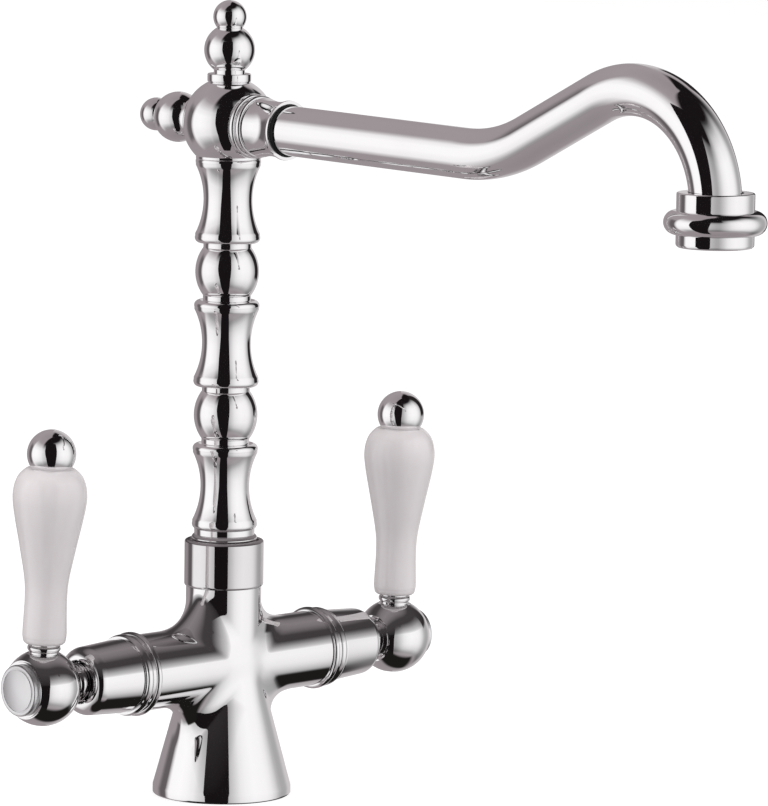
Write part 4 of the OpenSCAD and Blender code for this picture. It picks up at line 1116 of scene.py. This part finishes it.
# %% Aerator housing
at_outlet = upright(y=-REACH)
BARREL_R, BEAD_CREST = 13.3, 17.6
bead_z, bead = outlet_z + 8.4, 4.1
bead_turn = acosd((BARREL_R - (BEAD_CREST - bead)) / bead)
housing_outline = ([(11.7, outlet_z), (12.5, outlet_z), (13.1, outlet_z + 0.45), (BARREL_R, outlet_z + 1.0),
                    (BARREL_R, outlet_z + 1.15)]
                   + arc(BEAD_CREST - bead, bead_z, bead, -bead_turn, bead_turn, 30)
                   + [(BARREL_R, outlet_top - 0.9), (BARREL_R, outlet_top - 0.75)]
                   + arc(12.7, outlet_top - 0.6, 0.6, 5, 90, 5)
                   + [(12.5, outlet_top), (9.6, outlet_top), (9.6, outlet_top - TUBE_INSIDE),
                      (8.0, outlet_top - TUBE_INSIDE), (8.0, outlet_z + 9.6), (11.7, outlet_z + 9.6)])
housing = lathe("aerator_housing_turned", housing_outline, at_outlet, closed=True)
dress(housing, "spout", "aerator_housing")

# %% Drilled plate
DRILL, given, result = new_group(
    "rings of holes",
    [("Plate", "Geometry"), ("Ring Step", "Float", 0.0025), ("Hole Radius", "Float", 0.0006),
     ("Depth", "Float", 0.02), ("Centre", "Vector"), ("Finish", "Material")],
    [("Drilled", "Geometry")], "GeometryNodeTree")
gather = add(DRILL, "GeometryNodeJoinGeometry")
for ring in (1, 2, 3):
    circle = add(DRILL, "GeometryNodeMeshCircle")
    circle.inputs["Vertices"].default_value = 6 * ring
    feed(DRILL, math_node(DRILL, "MULTIPLY", given.outputs["Ring Step"], ring), circle.inputs["Radius"])
    wire(DRILL, (circle, 0, gather, 0))
drill = add(DRILL, "GeometryNodeMeshCylinder")
drill.inputs["Vertices"].default_value = 20
spots = add(DRILL, "GeometryNodeInstanceOnPoints")
move = add(DRILL, "GeometryNodeTransform")
real_drills = add(DRILL, "GeometryNodeRealizeInstances")
bore = add(DRILL, "GeometryNodeMeshBoolean", operation="DIFFERENCE")
real = add(DRILL, "GeometryNodeRealizeInstances")
finish = add(DRILL, "GeometryNodeSetMaterial")
wire(DRILL, (given, "Hole Radius", drill, "Radius"), (given, "Depth", drill, "Depth"),
     (gather, 0, spots, "Points"), (drill, 0, spots, "Instance"), (spots, 0, move, "Geometry"),
     (given, "Centre", move, "Translation"), (move, 0, real_drills, 0), (given, "Plate", bore, 0),
     (real_drills, 0, bore, 1), (bore, 0, real, 0), (real, 0, finish, "Geometry"),
     (given, "Finish", finish, "Material"), (finish, 0, result, 0))

plate_z, INSERT_R, PLATE_R = outlet_z + 0.8, 11.65, 10.25
plate = lathe("aerator_plate", soften([
    (0, plate_z + 1.2), (PLATE_R, plate_z + 1.2), (PLATE_R, plate_z, 0.2), (INSERT_R, plate_z, 0.2),
    (INSERT_R, plate_z + 7.2), (PLATE_R, plate_z + 7.2), (PLATE_R, plate_z + 3.4), (0, plate_z + 3.4)]),
    at_outlet)
grow(plate, DRILL, Ring_Step=INSERT_R / 4.6 * MM, Hole_Radius=0.6 * MM,
     Centre=(0, -REACH * MM, (plate_z + 2) * MM), Finish=STEEL)
plate.data.set_sharp_from_angle(angle=math.radians(32))
dress(plate, "spout", "aerator_insert", STEEL)

# %% [markdown]
# Each arm ends in a ring with two ridges, and a shroud that hides the valve and rounds off to a
# small mouth. Both sides are the same, so one loop turns them for the left and for the right.

# %% Rings and shrouds
RING_BASE = ARM_R + 0.3
MOUTH_ROUND = 4.2
ridges = [(15.4, 1.26, ARM_L + 1.46), (14.9, 1.85, RING_END - 1.95)]
for side, hand in SIDES.items():
    beads = []
    for crest, bead, z in ridges:
        turn = acosd((RING_BASE - (crest - bead)) / bead)
        beads += arc(crest - bead, z, bead, -turn, turn, 14)
    ring = lathe(f"{hand}_ring_turned", [(VALVE_R, ARM_L), (RING_BASE, ARM_L)] + beads
                 + [(RING_BASE, RING_END), (VALVE_R, RING_END)], on_arm(side), closed=True)
    dress(ring, "body", f"{hand}_trim_ring")
    shroud = lathe(f"{hand}_shroud_turned", soften([
        (11.35, RING_END), (13.5, RING_END, 0.25), (12.5, SHROUD_END - MOUTH_ROUND)])
        + arc(8.3, SHROUD_END - MOUTH_ROUND, MOUTH_ROUND, 3, 90, 14)
        + [(8.1, SHROUD_END), (7.7, SHROUD_END - 0.42), (7.7, RING_END + 10.8), (8.45, RING_END + 10.8),
           (8.45, RING_END + 6), (11.35, RING_END + 6)], on_arm(side), closed=True)
    dress(shroud, "body", f"{hand}_valve_shroud")

# %% [markdown]
# The lever turns on the spindle. Its hub is a ball with a collar where it meets the skirt, and the
# skirt is ribbed. The ribs are one ring, repeated by the same tree as the column's forms.
# The ball carries the handle on a flat, and a screw from below holds it to the spindle.

# %% Lever hubs
NECK_RING_R = 6.0
neck_z = math.sqrt(LEVER_R ** 2 - NECK_RING_R ** 2) - 0.3
step_r = 10.1
step_x = HUB_X + math.sqrt(LEVER_R ** 2 - (step_r + 0.5) ** 2)
cap_face = step_x + 0.7
boss_turn = asind((BOSS_X - HUB_X) / LEVER_R)
step_turn = asind((step_x - HUB_X) / LEVER_R)
RIBS, RIB_STEP, RIB_ROOT, SKIRT_X = 7, 1.3, 6.3, 61.9
rib_x = SHROUD_END - 3.75
for side, hand in SIDES.items():
    ball = lathe(f"{hand}_hub_ball", [(0, HUB_X + 4), (4.05, HUB_X + 4), (4.05, SKIRT_X), (SKIRT_R, SKIRT_X),
                                      (SKIRT_R, rib_x - 0.7), (RIB_ROOT, rib_x - 0.7),
                                      (RIB_ROOT, BOSS_X - 1.6), (SKIRT_R, BOSS_X - 1.6),
                                      (SKIRT_R, BOSS_X - 0.5), (BOSS_R - 0.6, BOSS_X - 0.5),
                                      (BOSS_R - 0.6, BOSS_X - 0.05)]
                 + arc(0, HUB_X, LEVER_R, boss_turn, step_turn, 34)
                 + [(step_r + 0.05, step_x), (step_r, step_x + 0.05), (step_r, cap_face), (7.7, cap_face),
                    (7.7, cap_face - 3.2), (0, cap_face - 3.2)], on_arm(side))
    screw_way = along((side * (HUB_X - 1.7), 0, AXIS_Z), (0, 0, -1))
    cut(ball, [cutter("handle_flat", rod(NECK_RING_R + 0.25, neck_z, 16), on_lever(side)),
               cutter("rod_hole", rod(ROD_R, 5.5, 16), on_lever(side)),
               cutter("screw_hole", rod(ROD_R, 2, 16), screw_way)])
    rib = lathe(f"{hand}_rib", [(6.2, rib_x - 0.36), (6.98, rib_x - 0.36), (SKIRT_R, rib_x - 0.24),
                                (SKIRT_R, rib_x + 0.24), (6.98, rib_x + 0.36), (6.2, rib_x + 0.36)],
                on_arm(side), closed=True, sides=96)
    grow(rib, REPEAT, Count=RIBS - 1, Step=(side * RIB_STEP * MM, 0, 0), Finish=CHROME)
    lever_hub = join(f"{hand}_lever_hub_turned", [ball, rib], smooth_below=20)
    dress(lever_hub, f"{hand}_lever", f"{hand}_lever_hub")

# %% [markdown]
# A cap closes the hub's outer end. On many taps it tells hot from cold; here it is left bare, with
# one fine turned line inside its edge, and a face that is a little duller than the rest.

# %% Index caps
line_z = cap_face + 2.3
cap_outline = ([(0, cap_face - 2.6), (7.6, cap_face - 2.6), (7.6, cap_face), (9.25, cap_face),
                (9.3, cap_face + 0.1), (9.3, cap_face + 1.55)]
               + arc(8.6, cap_face + 1.6, 0.7, 0, 90, 7)
               + [(7.8, line_z), (7.75, line_z - 0.02), (7.72, line_z - 0.3), (7.43, line_z - 0.3),
                  (7.4, line_z - 0.02), (7.35, line_z), (0, line_z)])
for side, hand in SIDES.items():
    cap = lathe(f"{hand}_cap_turned", cap_outline, on_arm(side))
    dress(cap, f"{hand}_lever", f"{hand}_index_cap", material=SATIN_CHROME)

# %% [markdown]
# The handle stands on a beaded neck ring, and a ball nut on its rod clamps it from above.
# Porcelain is cast and fired, so its outline has no straight run: it is one flowing curve through
# a few widths. The same smooth curve through points that an animator uses makes it here.

# %% Handles
HANDLE_H, WAIST, BELLY = 63.6, 7.6, 13.3
NECK_RING_H = 4.05
handle_z = neck_z + NECK_RING_H
handle_top = handle_z + HANDLE_H
KNOB_R = 8.8
knob_z = handle_top + math.sqrt(KNOB_R ** 2 - (KNOB_R * 0.82) ** 2)


def flowing(points, steps):
    """A smooth curve through every point, with a few steps between each pair."""
    p = np.array(points, float)
    done = []
    for i in range(len(p) - 1):
        a, b, c, d = p[max(i - 1, 0)], p[i], p[i + 1], p[min(i + 2, len(p) - 1)]
        for t in np.arange(steps) / steps:
            done.append(tuple((2 * b + (c - a) * t + (2 * a - 5 * b + 4 * c - d) * t * t
                               + (3 * b - a - 3 * c + d) * t ** 3) / 2))
    return done + [tuple(p[-1])]


widths = [(WAIST - 0.7, 0), (WAIST - 0.1, 0.01), (WAIST + 0.2, 0.03), (WAIST + 0.35, 0.07),
          (WAIST, 0.25), (WAIST + 0.45, 0.37), (WAIST + (BELLY - WAIST) * 0.45, 0.55),
          (BELLY - 0.6, 0.75), (BELLY, 0.855), (BELLY - 1.3, 0.94), (BELLY - 4, 0.99), (BELLY - 5.8, 1.0)]
handle_outline = flowing([(r, handle_z + share * HANDLE_H) for r, share in widths], 8)
for side, hand in SIDES.items():
    bead = NECK_RING_H * 0.36
    turn = acosd((bead - 0.6) / bead)
    neck_ring = lathe(f"{hand}_neck_ring_turned", [(ROD_R, neck_z), (NECK_RING_R - 0.6, neck_z)]
                      + arc(NECK_RING_R - bead, neck_z + NECK_RING_H * 0.56, bead, -turn, turn, 14)
                      + [(NECK_RING_R - 0.6, handle_z), (ROD_R, handle_z)], on_lever(side), closed=True)
    dress(neck_ring, f"{hand}_lever", f"{hand}_neck_ring")
    handle = lathe(f"{hand}_handle_cast", [(2.9, handle_z)] + handle_outline + [(2.9, handle_top)],
                   on_lever(side), closed=True)
    dress(handle, f"{hand}_lever", f"{hand}_porcelain_handle", PORCELAIN)
    seat_turn = asind((handle_top - knob_z) / KNOB_R)
    nut = lathe(f"{hand}_ball_nut_turned", [(0, knob_z), (ROD_R, knob_z), (ROD_R, handle_top)]
                + arc(0, knob_z, KNOB_R, seat_turn, 90, 34)[:-1] + [(0, knob_z + KNOB_R)], on_lever(side))
    dress(nut, f"{hand}_lever", f"{hand}_ball_nut")

# %% [markdown]
# The parts inside keep the CAD model's own shape, because it is right. They still get a finish
# each, since an open view of the tap shows them: brass valves, ceramic discs, steel rods, rubber.

# %% Finishes of the inner parts
INNER = {"base_gasket": RUBBER, "swivel_bush": NYLON, "column_o_rings": RUBBER, "aerator_washer": RUBBER}
for hand in SIDES.values():
    INNER.update({f"{hand}_valve_body": BRASS, f"{hand}_valve_seal": RUBBER, f"{hand}_fixed_disc": CERAMIC,
                  f"{hand}_turning_disc": CERAMIC, f"{hand}_spindle": BRASS, f"{hand}_spindle_o_ring": RUBBER,
                  f"{hand}_handle_rod": STEEL, f"{hand}_grub_screw": BLACK_SCREW})
for node, material in INNER.items():
    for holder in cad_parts[node].material_slots:
        holder.material = material
left_over = [n for n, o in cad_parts.items() if n not in INNER and not o.hide_render]
print("inner parts:", len(INNER), "; CAD nodes without a finish:", left_over)
